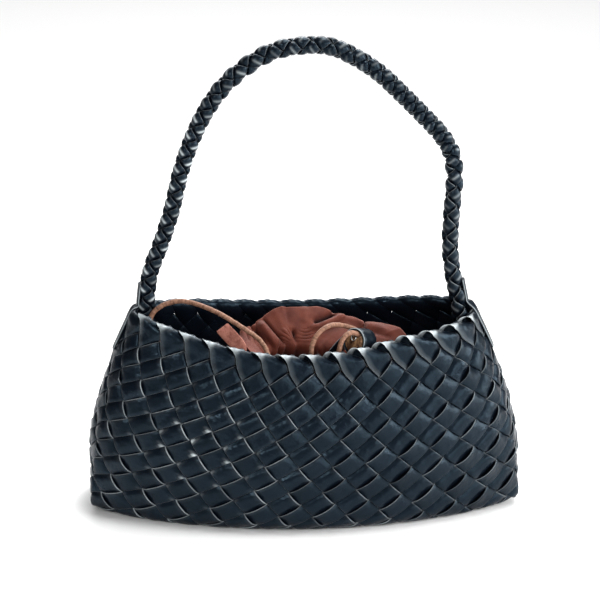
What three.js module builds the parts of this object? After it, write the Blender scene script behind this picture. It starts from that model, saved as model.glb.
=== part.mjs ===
// A small shoulder bag plaited from leather strips, with a braided handle and a drawstring pouch inside.
// Millimetres, +Z up, +X to the right of the front, the front faces -Y. The bag stands on its base at z = 0.
import * as THREE from "three";

// Plait: folds run round the bag, rows run up the wall, and every strip crosses both at a slant
const FOLDS_LONG = 13;
const FOLDS_END = 3;
const FOLDS = 2 * (FOLDS_LONG + FOLDS_END);
const ROWS = 8;
const ROW_LENGTH = 18.5;
const TWIST = 0.3;

// Base outline and how the wall lies on the floor before it turns up
const BASE_HALF_LENGTH = 159;
const BASE_HALF_DEPTH = 74;
const BASE_END_HALF_DEPTH = 27;
const BASE_END_LIFT = 4;
const LIFT_FROM = 0.68;
const LAID_ROWS = 1;
const CORNER_AT_ENDS = 3;
const CORNER_AT_MIDDLE = 10;
const CORNER_WEAR = 0.8;
const WEAR_FULL_HEIGHT = 50;

// Mouth: an oval that droops between the handle's ends
const MOUTH_HALF_LENGTH = 127;
const MOUTH_HALF_DEPTH = 48;
const MOUTH_END_HEIGHT = 150;
const DROOP_FRONT = 24;
const DROOP_BACK = 10;
const DROOP_POWER = 1.5;
const LEAN_STARTS = 0.3;
const LEAN_POWER = 1.5;
const MOUTH_DIVISIONS = 720;

// Steps, in folds and rows, over which the directions of the outlines and the wall are taken
const OUTLINE_STEP = 0.3;
const WALL_STEP = 0.2;

// Leather of the wall: two strips thick, with each crossing standing proud, and a scalloped rim
const WALL = 2.4;
const CROSSING_RELIEF = 1;
const RELIEF_FROM = 3;
const RELIEF_FULL = 14;
const RIM_ROLL = 1.2;
const RIM_LOBE = 2.6;

// Handle: a round braid
const BRAID_RADIUS = 6;
const BRAID_SIDES = 10;
const BRAID_STEPS = 64;
const BRAID_ROUTE = [
  { x: -120.5, z: 126 },
  { x: -117.6, z: 150 },
  { x: -114, z: 178 },
  { x: -105, z: 202 },
  { x: -97, z: 226 },
  { x: -90, z: 254 },
  { x: -81, z: 279 },
  { x: -71, z: 299 },
  { x: -58, z: 317 },
  { x: -42, z: 331 },
  { x: -22, z: 342 },
  { x: 0, z: 346 },
  { x: 19, z: 345 },
  { x: 37, z: 337 },
  { x: 55, z: 325 },
  { x: 71, z: 310 },
  { x: 87, z: 294 },
  { x: 100, z: 280 },
  { x: 108, z: 266 },
  { x: 110.5, z: 249 },
  { x: 109.5, z: 229 },
  { x: 108.5, z: 207 },
  { x: 109, z: 190 },
  { x: 112, z: 170 },
  { x: 116.6, z: 150 },
  { x: 119.5, z: 126 },
];

// Strips that run from the braid over the rim and down the outside
const STRIP_THICKNESS = 1.5;
const STRIP_SEAT = 0.4;
const STRIP_SEAT_ON_BRAID = 0.775;
const STRIP_HALF_FOLDS = 0.32;
const STRIP_HALF_ANGLE = 0.72;
const STRIP_ROWS = [6.4, 6.8, 7.2, 7.6, 7.9];
const STRIP_TOP_HEIGHTS = [158, 164, 171];
const STRIP_SHARES = [-1, -0.5, 0, 0.5, 1];
const BRAID_SEARCH_TURNS = 40;

// Pouch: a row for each section from the floor to the edge of the collar
const CLOTH = 1.5;
const POUCH_SIDES = 56;
const POUCH_PLEATS = 14;
const POUCH_FLOOR_SECTIONS = 3;
const POUCH_HUMP_ANGLE = THREE.MathUtils.degToRad(115);
const POUCH_SECTIONS = [
  { centreX: 16, centreY: 0, halfWidth: 34, halfDepth: 22, height: 2.8, rise: 0, hump: 0, pleat: 0 },
  { centreX: 16, centreY: 0, halfWidth: 70, halfDepth: 42, height: 3, rise: 0, hump: 0, pleat: 0 },
  { centreX: 16, centreY: 0, halfWidth: 80, halfDepth: 50, height: 14, rise: 0, hump: 0, pleat: 0 },
  { centreX: 16, centreY: 0, halfWidth: 88, halfDepth: 55, height: 44, rise: 0, hump: 0, pleat: 0.2 },
  { centreX: 15, centreY: 0, halfWidth: 84, halfDepth: 51, height: 70, rise: 0, hump: 0, pleat: 0.5 },
  { centreX: 12, centreY: -3, halfWidth: 68, halfDepth: 39, height: 92, rise: 0, hump: 0, pleat: 1 },
  { centreX: 6, centreY: -9, halfWidth: 47, halfDepth: 22, height: 105, rise: 0, hump: 0, pleat: 1.6 },
  { centreX: 3, centreY: -12, halfWidth: 34, halfDepth: 13, height: 112, rise: 3, hump: 4, pleat: 1.8 },
  { centreX: 8, centreY: -10, halfWidth: 42, halfDepth: 17, height: 117, rise: 4.2, hump: 7, pleat: 2.2 },
  { centreX: 14, centreY: -8, halfWidth: 54, halfDepth: 24, height: 120.5, rise: 4.4, hump: 12, pleat: 2.8 },
  { centreX: 18, centreY: -7, halfWidth: 66, halfDepth: 30, height: 122.5, rise: 4.4, hump: 16.5, pleat: 3.4 },
];

// Drawstring: a leather cord, with routes chosen by eye from its bends
const CORD_RADIUS = 1.8;
const CORD_SIDES = 8;
const CORD_STEPS = 40;
const CORD_LEFT_ROUTE = [
  [-20, -31.4, 101],
  [-22, -37.5, 105],
  [-25, -40, 112],
  [-27, -40, 121],
  [-29.5, -37, 129.5],
  [-34, -32, 135.5],
  [-42, -27, 140.5],
  [-52, -22, 146],
  [-62, -17, 151],
  [-73, -12, 155],
  [-83, -8, 157.5],
  [-92, -6, 158.5],
  [-102, -5.5, 156.5],
  [-109, -6.5, 153],
  [-113.5, -7.5, 148],
  [-114.5, -8, 141],
  [-112.5, -8, 133],
  [-108.5, -7.5, 126],
  [-104, -7, 120],
];
const CORD_RIGHT_ROUTE = [
  [5, -33.4, 103.6],
  [4.7, -37.7, 106.3],
  [4.4, -40.6, 110.5],
  [3.8, -41.9, 115.4],
  [3.3, -42.3, 120.4],
  [2.9, -42.2, 125.5],
  [3.1, -41.9, 130.6],
  [4.1, -41.3, 135.5],
  [6.2, -40.3, 140],
  [9.5, -38.7, 143.6],
  [13.5, -36.5, 145.8],
  [17.7, -33.8, 146.7],
  [21.7, -30.7, 146.1],
  [25.4, -27.5, 144.7],
  [28.9, -24.3, 142.9],
  [32.2, -20.9, 140.9],
  [35.5, -17.7, 138.7],
  [38.8, -14.8, 136.2],
  [42.8, -12.9, 133.6],
  [47.4, -13.5, 131.7],
  [50.4, -17.3, 131.9],
  [49.7, -21.8, 134],
  [46.8, -25.5, 135.8],
  [43.3, -28.9, 137.2],
  [39.8, -32.4, 138.6],
  [36.4, -35.8, 140.3],
  [33.2, -38.9, 142.7],
  [29.2, -41.8, 142.6],
  [25.8, -43.1, 139.1],
  [24, -43.1, 134.3],
  [23, -42.8, 129.4],
  [22.7, -42.5, 124.3],
  [22.7, -42.3, 119.2],
  [23, -41.6, 114.1],
  [23.5, -39.9, 109.4],
  [23.9, -36.4, 105.7],
  [24, -31.8, 103.6],
];

// Toggle: a rolled barrel whose end looks up, to the left and to the front; the wrap's loose end leaves it as a tail
const TOGGLE_CENTRE = new THREE.Vector3(39.5, -29.4, 132);
const TOGGLE_AXIS = new THREE.Vector3(-0.68, -0.68, 0.28).normalize();
const TOGGLE_LENGTH = 15;
const TOGGLE_RADIUS = 10.2;
const TOGGLE_WRAP = 1.8;
const NOTCH_ANGLE = THREE.MathUtils.degToRad(68);
const NOTCH_REACH = 6.3;
const NOTCH_RADIUS = 2.2;
const NOTCH_SIDES = 8;
const TOGGLE_SIDES = 24;
const TOGGLE_TAIL_ANGLE = THREE.MathUtils.degToRad(137);
const TOGGLE_TAIL_LENGTH = 25;
const SEAT = 0.3;

// Label: a bare tag, given by the middles of its top and bottom edges
const LABEL_TOP = new THREE.Vector3(-61.5, -20.9, 142.5);
const LABEL_BOTTOM = new THREE.Vector3(-42.9, -21.9, 119.5);
const LABEL_HALF_WIDTH = 5.5;
const LABEL_THICKNESS = 1.6;
const LABEL_SHARES = [0, 0.5, 1];

const leatherBlack = { color: 0x14181e, roughness: 0.42, metalness: 0 };
const leatherTan = { color: 0xb07d58, roughness: 0.6, metalness: 0 };
const clothRust = { color: 0x7d3f2b, roughness: 0.85, metalness: 0 };

const bag = new THREE.Group();

function addPiece(name, geometry, look) {
  const piece = new THREE.Mesh(geometry, new THREE.MeshStandardMaterial(look));
  piece.name = name;
  bag.add(piece);
  return piece;
}

// A list of triangles that becomes one closed skin
class Skin {
  constructor() {
    this.coordinates = [];
  }
  triangle(a, b, c) {
    for (const point of [a, b, c]) this.coordinates.push(point.x, point.y, point.z);
  }
  // Two triangles, split from a to c, facing the side where a, b, c, d run anticlockwise
  quad(a, b, c, d) {
    this.triangle(a, b, c);
    this.triangle(a, c, d);
  }
  geometry() {
    const made = new THREE.BufferGeometry();
    made.setAttribute("position", new THREE.Float32BufferAttribute(this.coordinates, 3));
    made.computeVertexNormals();
    return made;
  }
}

const lerp = THREE.MathUtils.lerp;
const clamp = THREE.MathUtils.clamp;
const smoothstep = THREE.MathUtils.smoothstep;
const wrapFold = (fold) => ((fold % FOLDS) + FOLDS) % FOLDS;

// How far a place is from the bag's two ends: 0 at an end, 1 in the middle of the front or back
const bowAt = (x) => Math.max(0, 1 - (x / BASE_HALF_LENGTH) ** 2);

// Base outline by fold number: front, right end, back, left end, with sharp corners between them
function baseOutline(fold) {
  const f = wrapFold(fold);
  const half = FOLDS / 2;
  const onBack = f >= half;
  const g = onBack ? f - half : f;
  const sign = onBack ? -1 : 1;
  if (g <= FOLDS_LONG) {
    const x = lerp(-BASE_HALF_LENGTH, BASE_HALF_LENGTH, g / FOLDS_LONG);
    const depth = lerp(BASE_END_HALF_DEPTH, BASE_HALF_DEPTH, bowAt(x));
    return new THREE.Vector2(sign * x, -sign * depth);
  }
  const across = lerp(-1, 1, (g - FOLDS_LONG) / FOLDS_END);
  return new THREE.Vector2(sign * BASE_HALF_LENGTH, sign * across * BASE_END_HALF_DEPTH);
}

// The same outline with its corners worn round, which the wall takes up as it rises
function wornOutline(fold) {
  const near = baseOutline(fold - CORNER_WEAR).add(baseOutline(fold + CORNER_WEAR));
  return baseOutline(fold).multiplyScalar(2).add(near).divideScalar(4);
}

// Mouth outline: an ellipse walked at even steps, fold 0 standing above the base's first corner
const mouthCurve = new THREE.EllipseCurve(0, 0, MOUTH_HALF_LENGTH, MOUTH_HALF_DEPTH, Math.PI, 3 * Math.PI);
mouthCurve.arcLengthDivisions = MOUTH_DIVISIONS;
function mouthOutline(fold) {
  return mouthCurve.getPointAt(wrapFold(fold + FOLDS_END / 2) / FOLDS);
}

function mouthHeight(x, y) {
  const droop = y < 0 ? DROOP_FRONT : DROOP_BACK;
  return MOUTH_END_HEIGHT - droop * Math.max(0, 1 - (x / MOUTH_HALF_LENGTH) ** 2) ** DROOP_POWER;
}

function baseLift(x) {
  const beyond = Math.max(0, Math.abs(x) / BASE_HALF_LENGTH - LIFT_FROM) / (1 - LIFT_FROM);
  return BASE_END_LIFT * beyond ** 2;
}

function baseOutward(fold) {
  const along = baseOutline(fold + OUTLINE_STEP).sub(baseOutline(fold - OUTLINE_STEP)).normalize();
  return new THREE.Vector2(along.y, -along.x);
}

// Outer skin of the wall: it lies on the floor, turns a corner, rises, and leans in to the mouth
function wallPoint(fold, row) {
  const turned = fold + TWIST * row;
  const base = baseOutline(turned);
  const mouth = mouthOutline(turned);
  const bow = bowAt(base.x);
  const corner = lerp(CORNER_AT_ENDS, CORNER_AT_MIDDLE, bow);
  const cornerLength = (corner * Math.PI) / 2;
  const wallLength = (ROWS - LAID_ROWS * bow) * ROW_LENGTH;
  const along = wallLength - (ROWS - row) * ROW_LENGTH;
  const foot = baseLift(base.x);
  const top = mouthHeight(mouth.x, mouth.y);
  let inward = 0;
  let height = 0;
  if (along <= 0) {
    inward = corner - along;
  } else if (along < cornerLength) {
    inward = corner * (1 - Math.sin(along / corner));
    height = corner * (1 - Math.cos(along / corner));
  } else {
    height = lerp(corner, top - foot, (along - cornerLength) / (wallLength - cornerLength));
  }
  const share = height / (top - foot);
  const lean = clamp((share - LEAN_STARTS) / (1 - LEAN_STARTS), 0, 1) ** LEAN_POWER;
  const outward = baseOutward(turned);
  base.lerp(wornOutline(turned), smoothstep(height, 0, WEAR_FULL_HEIGHT));
  const plan = base.lerp(mouth, lean).addScaledVector(outward, -inward);
  return new THREE.Vector3(plan.x, plan.y, foot + height);
}

function wallNormal(fold, row) {
  const low = Math.max(0, row - WALL_STEP);
  const high = Math.min(ROWS, row + WALL_STEP);
  const round = wallPoint(fold + WALL_STEP, row).sub(wallPoint(fold - WALL_STEP, row));
  const up = wallPoint(fold, high).sub(wallPoint(fold, low));
  return round.cross(up).normalize();
}

// Base: a patch stretched between the four edges where the wall begins
function basePoint(long, deep) {
  const u = long / FOLDS_LONG;
  const v = deep / FOLDS_END;
  const edge = (fold) => wallPoint(fold, 0);
  const rightCorner = FOLDS_LONG;
  const backCorner = FOLDS_LONG + FOLDS_END;
  const leftCorner = FOLDS - FOLDS_END;
  const acrossDepth = edge(long).lerp(edge(leftCorner - long), v);
  const acrossLength = edge(FOLDS - deep).lerp(edge(rightCorner + deep), u);
  const front = edge(0).lerp(edge(rightCorner), u);
  const back = edge(leftCorner).lerp(edge(backCorner), u);
  return acrossDepth.add(acrossLength).sub(front.lerp(back, v));
}

// The wall's plait on a half-step grid: corners of crossings and their raised middles alternate
function buildBody() {
  const skin = new Skin();
  const columns = 2 * FOLDS;
  const levels = 2 * ROWS;
  const down = new THREE.Vector3(0, 0, -1);
  const up = new THREE.Vector3(0, 0, 1);
  const lobe = (column) => (column % 2 ? RIM_LOBE : 0);
  const isMiddle = (column, level) => (column + level) % 2 === 1;

  function outer(column, level) {
    const point = wallPoint(column / 2, level / 2);
    const proud = isMiddle(column, level) ? CROSSING_RELIEF : 0;
    const share = smoothstep(point.z, RELIEF_FROM, RELIEF_FULL);
    const lift = level === levels ? lobe(column) : 0;
    const normal = wallNormal(column / 2, level / 2);
    return point.addScaledVector(normal, proud * share).addScaledVector(up, lift);
  }

  // The inner skin, mitred where the wall meets the base
  function inner(column, level) {
    const point = wallPoint(column / 2, level / 2);
    const normal = wallNormal(column / 2, level / 2);
    if (level === 0) {
      const share = 1 + normal.dot(down);
      normal.add(down).divideScalar(share);
    }
    const lift = level === levels ? lobe(column) : 0;
    return point.addScaledVector(normal, -WALL).addScaledVector(up, lift);
  }

  function rimTop(column) {
    const point = wallPoint(column / 2, ROWS);
    const normal = wallNormal(column / 2, ROWS);
    return point.addScaledVector(normal, -WALL / 2).addScaledVector(up, RIM_ROLL + lobe(column));
  }

  for (let column = 0; column < columns; column++) {
    const next = (column + 1) % columns;
    for (let level = 0; level < levels; level++) {
      const a = outer(column, level);
      const b = outer(next, level);
      const c = outer(next, level + 1);
      const d = outer(column, level + 1);
      if (isMiddle(column, level)) skin.quad(b, c, d, a);
      else skin.quad(a, b, c, d);
    }
    for (let level = 0; level < levels; level += 2) {
      skin.quad(inner(column, level), inner(column, level + 2), inner(next, level + 2), inner(next, level));
    }
    skin.quad(outer(column, levels), outer(next, levels), rimTop(next), rimTop(column));
    skin.quad(rimTop(column), rimTop(next), inner(next, levels), inner(column, levels));
  }

  // The base, first its underside and then the floor inside the bag
  const edgeColumn = (i, j) => {
    if (j === 0) return i;
    if (i === 2 * FOLDS_LONG) return 2 * FOLDS_LONG + j;
    if (j === 2 * FOLDS_END) return 2 * (FOLDS - FOLDS_END) - i;
    if (i === 0) return (columns - j) % columns;
    return -1;
  };
  function under(i, j) {
    const column = edgeColumn(i, j);
    return column < 0 ? basePoint(i / 2, j / 2) : outer(column, 0);
  }
  function floor(i, j) {
    const column = edgeColumn(i, j);
    return column < 0 ? basePoint(i / 2, j / 2).addScaledVector(up, WALL) : inner(column, 0);
  }
  for (let i = 0; i < 2 * FOLDS_LONG; i++) {
    for (let j = 0; j < 2 * FOLDS_END; j++) {
      skin.quad(under(i, j), under(i, j + 1), under(i + 1, j + 1), under(i + 1, j));
      skin.quad(floor(i, j), floor(i + 1, j), floor(i + 1, j + 1), floor(i, j + 1));
    }
  }
  addPiece("woven_body", skin.geometry(), leatherBlack);
}

function roundSection(radius, sides) {
  const shape = new THREE.Shape();
  for (let side = 0; side < sides; side++) {
    const angle = (2 * Math.PI * side) / sides;
    const x = radius * Math.cos(angle);
    const y = radius * Math.sin(angle);
    if (side) shape.lineTo(x, y);
    else shape.moveTo(x, y);
  }
  shape.closePath();
  return shape;
}

function tubeAlong(curve, radius, sides, steps) {
  const options = { steps, bevelEnabled: false, extrudePath: curve };
  return new THREE.ExtrudeGeometry(roundSection(radius, sides), options);
}

const braidCurve = new THREE.CatmullRomCurve3(BRAID_ROUTE.map(({ x, z }) => new THREE.Vector3(x, 0, z)));

function buildHandle() {
  addPiece("handle_braid", tubeAlong(braidCurve, BRAID_RADIUS, BRAID_SIDES, BRAID_STEPS), leatherBlack);
}

// A thin closed solid between a grid of points and the same grid moved along its normals
function sheetSolid(grid, thickness) {
  const rows = grid.length;
  const columns = grid[0].length;
  const moved = grid.map((line, r) =>
    line.map((point, c) => {
      const along = grid[r][Math.min(c + 1, columns - 1)].clone().sub(grid[r][Math.max(c - 1, 0)]);
      const up = grid[Math.min(r + 1, rows - 1)][c].clone().sub(grid[Math.max(r - 1, 0)][c]);
      return point.clone().addScaledVector(along.cross(up).normalize(), thickness);
    }),
  );
  const skin = new Skin();
  for (let r = 0; r + 1 < rows; r++) {
    for (let c = 0; c + 1 < columns; c++) {
      skin.quad(moved[r][c], moved[r][c + 1], moved[r + 1][c + 1], moved[r + 1][c]);
      skin.quad(grid[r][c], grid[r + 1][c], grid[r + 1][c + 1], grid[r][c + 1]);
    }
    const last = columns - 1;
    skin.quad(grid[r][0], moved[r][0], moved[r + 1][0], grid[r + 1][0]);
    skin.quad(grid[r][last], grid[r + 1][last], moved[r + 1][last], moved[r][last]);
  }
  for (let c = 0; c + 1 < columns; c++) {
    const last = rows - 1;
    skin.quad(grid[0][c], grid[0][c + 1], moved[0][c + 1], moved[0][c]);
    skin.quad(grid[last][c], moved[last][c], moved[last][c + 1], grid[last][c + 1]);
  }
  return skin.geometry();
}

function braidCentreAt(height, side) {
  let low = side < 0 ? 0 : 0.5;
  let high = side < 0 ? 0.5 : 1;
  for (let turn = 0; turn < BRAID_SEARCH_TURNS; turn++) {
    const middle = (low + high) / 2;
    const below = braidCurve.getPoint(middle).z < height;
    if (below === side < 0) low = middle;
    else high = middle;
  }
  return braidCurve.getPoint(low);
}

// A strip on the outside of the wall at one end, over the rim's edge and up the side of the braid
function buildHandleStrip(name, side) {
  const endFold = side < 0 ? -FOLDS_END / 2 : FOLDS_LONG + FOLDS_END / 2;
  const seat = CROSSING_RELIEF + STRIP_SEAT;
  const onWall = STRIP_ROWS.map((row) =>
    STRIP_SHARES.map((share) => {
      const fold = endFold - TWIST * row + share * STRIP_HALF_FOLDS;
      return wallPoint(fold, row).addScaledVector(wallNormal(fold, row), seat);
    }),
  );
  const overRim = STRIP_SHARES.map((share) => {
    const fold = endFold - TWIST * ROWS + share * STRIP_HALF_FOLDS;
    const point = wallPoint(fold, ROWS).addScaledVector(wallNormal(fold, ROWS), STRIP_SEAT);
    return point.setZ(point.z + RIM_LOBE + RIM_ROLL + STRIP_SEAT);
  });
  const onBraid = STRIP_TOP_HEIGHTS.map((height) => {
    const centre = braidCentreAt(height, side);
    return STRIP_SHARES.map((share) => {
      const angle = share * STRIP_HALF_ANGLE;
      const reach = BRAID_RADIUS + STRIP_SEAT_ON_BRAID;
      const x = centre.x + side * reach * Math.cos(angle);
      return new THREE.Vector3(x, side * reach * Math.sin(angle), height);
    });
  });
  addPiece(name, sheetSolid([...onWall, overRim, ...onBraid], STRIP_THICKNESS), leatherBlack);
}

// One section of the pouch at an angle round it; the inner skin lies a cloth's thickness inside
function pouchPoint(section, angle, inset) {
  const pleat = section.pleat * Math.cos(POUCH_PLEATS * angle);
  const x = section.centreX + (section.halfWidth + pleat - inset) * Math.cos(angle);
  const y = section.centreY + (section.halfDepth + pleat - inset) * Math.sin(angle);
  const hump = section.hump * Math.max(0, Math.cos(angle - POUCH_HUMP_ANGLE)) ** 2;
  return new THREE.Vector3(x, y, section.height + section.rise * Math.sin(angle) + hump);
}

function buildPouch() {
  const skin = new Skin();
  const floorHeight = POUCH_SECTIONS[0].height;
  const outerRing = (section) => (side) => pouchPoint(section, (2 * Math.PI * side) / POUCH_SIDES, 0);
  const innerRing = (section, index) => (side) => {
    const point = pouchPoint(section, (2 * Math.PI * side) / POUCH_SIDES, CLOTH);
    if (index < POUCH_FLOOR_SECTIONS) point.z += CLOTH;
    return point;
  };
  const rings = [...POUCH_SECTIONS.map(outerRing), ...POUCH_SECTIONS.map(innerRing).reverse()];
  for (let ring = 0; ring + 1 < rings.length; ring++) {
    for (let side = 0; side < POUCH_SIDES; side++) {
      const next = (side + 1) % POUCH_SIDES;
      skin.quad(rings[ring](side), rings[ring](next), rings[ring + 1](next), rings[ring + 1](side));
    }
  }
  const { centreX, centreY } = POUCH_SECTIONS[0];
  const under = new THREE.Vector3(centreX, centreY, floorHeight);
  const inside = new THREE.Vector3(centreX, centreY, floorHeight + CLOTH);
  const lastRing = rings[rings.length - 1];
  for (let side = 0; side < POUCH_SIDES; side++) {
    const next = (side + 1) % POUCH_SIDES;
    skin.triangle(under, rings[0](next), rings[0](side));
    skin.triangle(inside, lastRing(side), lastRing(next));
  }
  addPiece("pouch", skin.geometry(), clothRust);
}

function buildCord(name, route) {
  const curve = new THREE.CatmullRomCurve3(route.map((point) => new THREE.Vector3(...point)));
  addPiece(name, tubeAlong(curve, CORD_RADIUS, CORD_SIDES, CORD_STEPS), leatherTan);
}

// The wrap's outline: a circle that a straight tail, as thick as the wrap, leaves along its tangent
function tailedSection() {
  const out = new THREE.Vector2(Math.cos(TOGGLE_TAIL_ANGLE), Math.sin(TOGGLE_TAIL_ANGLE));
  const along = new THREE.Vector2(-out.y, out.x);
  const leaves = out.clone().multiplyScalar(TOGGLE_RADIUS);
  const tip = leaves.clone().addScaledVector(along, TOGGLE_TAIL_LENGTH);
  const innerTip = tip.clone().addScaledVector(out, -TOGGLE_WRAP);
  const meets = TOGGLE_TAIL_ANGLE + Math.acos(1 - TOGGLE_WRAP / TOGGLE_RADIUS);
  const arc = TOGGLE_TAIL_ANGLE + 2 * Math.PI - meets;
  const outline = [leaves, tip, innerTip];
  for (let side = 0; side < TOGGLE_SIDES; side++) {
    const angle = meets + (arc * side) / TOGGLE_SIDES;
    outline.push(new THREE.Vector2(TOGGLE_RADIUS * Math.cos(angle), TOGGLE_RADIUS * Math.sin(angle)));
  }
  return new THREE.Shape(outline);
}

// The roll's outline: a circle with a round notch at its edge, where the cord runs under the wrap
function notchedSection(radius) {
  const mouth = Math.acos((radius ** 2 + NOTCH_REACH ** 2 - NOTCH_RADIUS ** 2) / (2 * radius * NOTCH_REACH));
  const side = Math.atan2(radius * Math.sin(mouth), radius * Math.cos(mouth) - NOTCH_REACH);
  const polar = (reach, angle) => new THREE.Vector2(reach * Math.cos(angle), reach * Math.sin(angle));
  const middle = polar(NOTCH_REACH, NOTCH_ANGLE);
  const outline = [];
  for (let step = 0; step <= TOGGLE_SIDES; step++) {
    outline.push(polar(radius, NOTCH_ANGLE + lerp(mouth, 2 * Math.PI - mouth, step / TOGGLE_SIDES)));
  }
  for (let step = 1; step < NOTCH_SIDES; step++) {
    const angle = NOTCH_ANGLE - lerp(side, 2 * Math.PI - side, step / NOTCH_SIDES);
    outline.push(middle.clone().add(polar(NOTCH_RADIUS, angle)));
  }
  return new THREE.Shape(outline);
}

// The barrel: a tan roll with a notch for the cord, inside a black wrap
function buildToggle() {
  const options = { depth: TOGGLE_LENGTH, bevelEnabled: false };
  const up = new THREE.Vector3(0, 0, 1).addScaledVector(TOGGLE_AXIS, -TOGGLE_AXIS.z).normalize();
  const across = up.clone().cross(TOGGLE_AXIS);
  const place = new THREE.Matrix4().makeBasis(across, up, TOGGLE_AXIS);
  place.setPosition(TOGGLE_CENTRE.clone().addScaledVector(TOGGLE_AXIS, -TOGGLE_LENGTH / 2));

  const core = notchedSection(TOGGLE_RADIUS - TOGGLE_WRAP - SEAT);
  addPiece("toggle_core", new THREE.ExtrudeGeometry(core, options), leatherTan).applyMatrix4(place);

  const wrap = tailedSection();
  wrap.holes.push(new THREE.Path(roundSection(TOGGLE_RADIUS - TOGGLE_WRAP, TOGGLE_SIDES).getPoints()));
  addPiece("toggle_wrap", new THREE.ExtrudeGeometry(wrap, options), leatherBlack).applyMatrix4(place);
}

function buildLabel() {
  const along = LABEL_BOTTOM.clone().sub(LABEL_TOP);
  const across = new THREE.Vector3(0, -1, 0).cross(along).normalize().multiplyScalar(LABEL_HALF_WIDTH);
  const grid = LABEL_SHARES.map((share) => {
    const middle = LABEL_BOTTOM.clone().addScaledVector(along, -share);
    return [middle.clone().sub(across), middle.clone(), middle.clone().add(across)];
  });
  addPiece("label_tag", sheetSolid(grid, LABEL_THICKNESS), leatherTan);
}

buildBody();
buildHandle();
buildHandleStrip("handle_strip_left", -1);
buildHandleStrip("handle_strip_right", 1);
buildPouch();
buildCord("drawcord_left", CORD_LEFT_ROUTE);
buildCord("drawcord_right", CORD_RIGHT_ROUTE);
buildToggle();
buildLabel();

export default bag;
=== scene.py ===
"""A plaited leather shoulder bag with a folded rim, braided handle, cloth pouch, drawcord, toggle and tag.

Shapes are worked out in millimetres as whole arrays, and put into the meshes in metres.
"""

import bpy
import numpy as np
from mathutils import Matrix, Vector


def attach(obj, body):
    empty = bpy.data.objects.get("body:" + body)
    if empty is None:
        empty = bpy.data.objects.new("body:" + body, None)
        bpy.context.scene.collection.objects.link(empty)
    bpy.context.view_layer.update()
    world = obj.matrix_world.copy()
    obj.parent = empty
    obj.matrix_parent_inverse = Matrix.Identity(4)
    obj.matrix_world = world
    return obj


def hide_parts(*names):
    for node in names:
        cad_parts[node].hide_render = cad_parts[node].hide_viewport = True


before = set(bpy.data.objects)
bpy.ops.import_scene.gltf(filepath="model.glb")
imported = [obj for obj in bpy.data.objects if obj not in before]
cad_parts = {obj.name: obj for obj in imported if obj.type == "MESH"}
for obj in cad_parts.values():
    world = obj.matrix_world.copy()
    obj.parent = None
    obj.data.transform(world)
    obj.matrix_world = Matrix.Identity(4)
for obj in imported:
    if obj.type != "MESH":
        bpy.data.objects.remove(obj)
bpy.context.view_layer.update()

MM = 0.001
DOWN = np.array([0.0, 0.0, -1.0])
chance = np.random.default_rng(7)

# Plait: folds run round the bag, rows run up the wall, and every strip crosses both at a slant
FOLDS_LONG = 13
FOLDS_END = 3
FOLDS = 32
ROWS = 8
ROW_LENGTH = 18.5
TWIST = 0.3

# Base, wall and mouth as in the part's source, but with longer base ends and the rim lower at the right
BASE_HALF_LENGTH = 161.5
BASE_HALF_DEPTH = 74.0
BASE_END_HALF_DEPTH = 27.0
BASE_END_LIFT = 4.0
LIFT_FROM = 0.68
LAID_ROWS = 1.0
CORNER_AT_ENDS = 3.0
CORNER_AT_MIDDLE = 10.0
CORNER_WEAR = 0.8
WEAR_FULL_HEIGHT = 50.0
MOUTH_HALF_LENGTH = 127.0
MOUTH_HALF_DEPTH = 48.0
MOUTH_END_HEIGHT = 150.0
DROOP_FRONT = 24.0
DROOP_BACK = 10.0
DROOP_POWER = 1.5
DROOP_RIGHT = 6.0
DROOP_RIGHT_OVER = (60.0, 108.0)
DROOP_RIGHT_DEPTHS = (-12.0, 18.0)
LEAN_STARTS = 0.3
LEAN_POWER = 1.5
OUTLINE_STEP = 0.3
WALL_STEP = 0.2

# Strips: leather a little narrower than its cells, with edges that stand off where it lies on top
STRIP = 1.6
STRIP_SHARE = 0.975
WEAVE = 0.9
DIP = 0.55
WAVE_POWER = 3.2
CELL_STEPS = 8
RELIEF = 1.0
RELIEF_HEIGHTS = (3.0, 14.0)
LIFT_RISING = 2.8
LIFT_FALLING = 1.3
LIFT_FALLING_LEFT = 2.2
LIFT_ON_LEFT = 0.35
LIFT_NEAR_SHARE = 0.5
LOOSENS_OVER = (3.0, 9.0)
LOOSE_HEIGHTS = (1.0, 12.0)
STRIP_SLACK = (0.55, 1.3)
STRIP_TONE = (-0.16, 0.16)
# Painted highlight on the strips' raised edges where light catches them: less at the right, and little on the
# far edges
EDGE_HIGHLIGHT = 0.38
EDGE_HIGHLIGHT_RIGHT = 0.15
EDGE_HIGHLIGHT_SPREAD = 1.0
EDGE_SPARED_RIGHT = 0.5
FAR_EDGE_RISING = 0.1
FAR_EDGE_FALLING = 0.9

# Painted glints at corners of the crossings: how pale, where in a cell, and where on the bag's front, across
# and up
CORNER_GLINT = 1.3
GLINT_ALONG = 0.875
GLINT_LENGTH = 0.09
GLINT_INSET = 0.06
GLINT_WIDTH = 0.13
GLINT_SLACK = 0.4
GLINT_MIDDLE = np.array([-82.0, 62.0])
GLINT_REACH = np.array([34.0, 28.0])
GLINT_DEPTHS = (0.0, 20.0)

# Rim: the falling strips roll over the edge from the outside to the inside
RIM_ROLL = 0.21
RIM_HALF_THICK = 3.3
RIM_CROWN = 2.0
RIM_OUT = 4.4
RIM_TUCK = 1.8
RIM_UP = 5.2
RIM_UNDER = 1.8
RIM_LEFT_SHARE = 0.4
RIM_LAP = 0.14
RIM_STEPS = 61
RIM_FADE = 0.3
RIM_NEAR = 0.34
RIM_CROWN_REACH = 0.25
RIM_LAP_FROM = 0.75
RIM_END_CALM = 0.8
RIM_END_REACH = 0.9
RIM_LOOSENS_OVER = (4.0, 8.0)
RIM_POWER = 1.5
LOBE_AT = 0.08
LOBE_REACH = 0.26
LOBE_FROM = (-0.3, 0.05)
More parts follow.
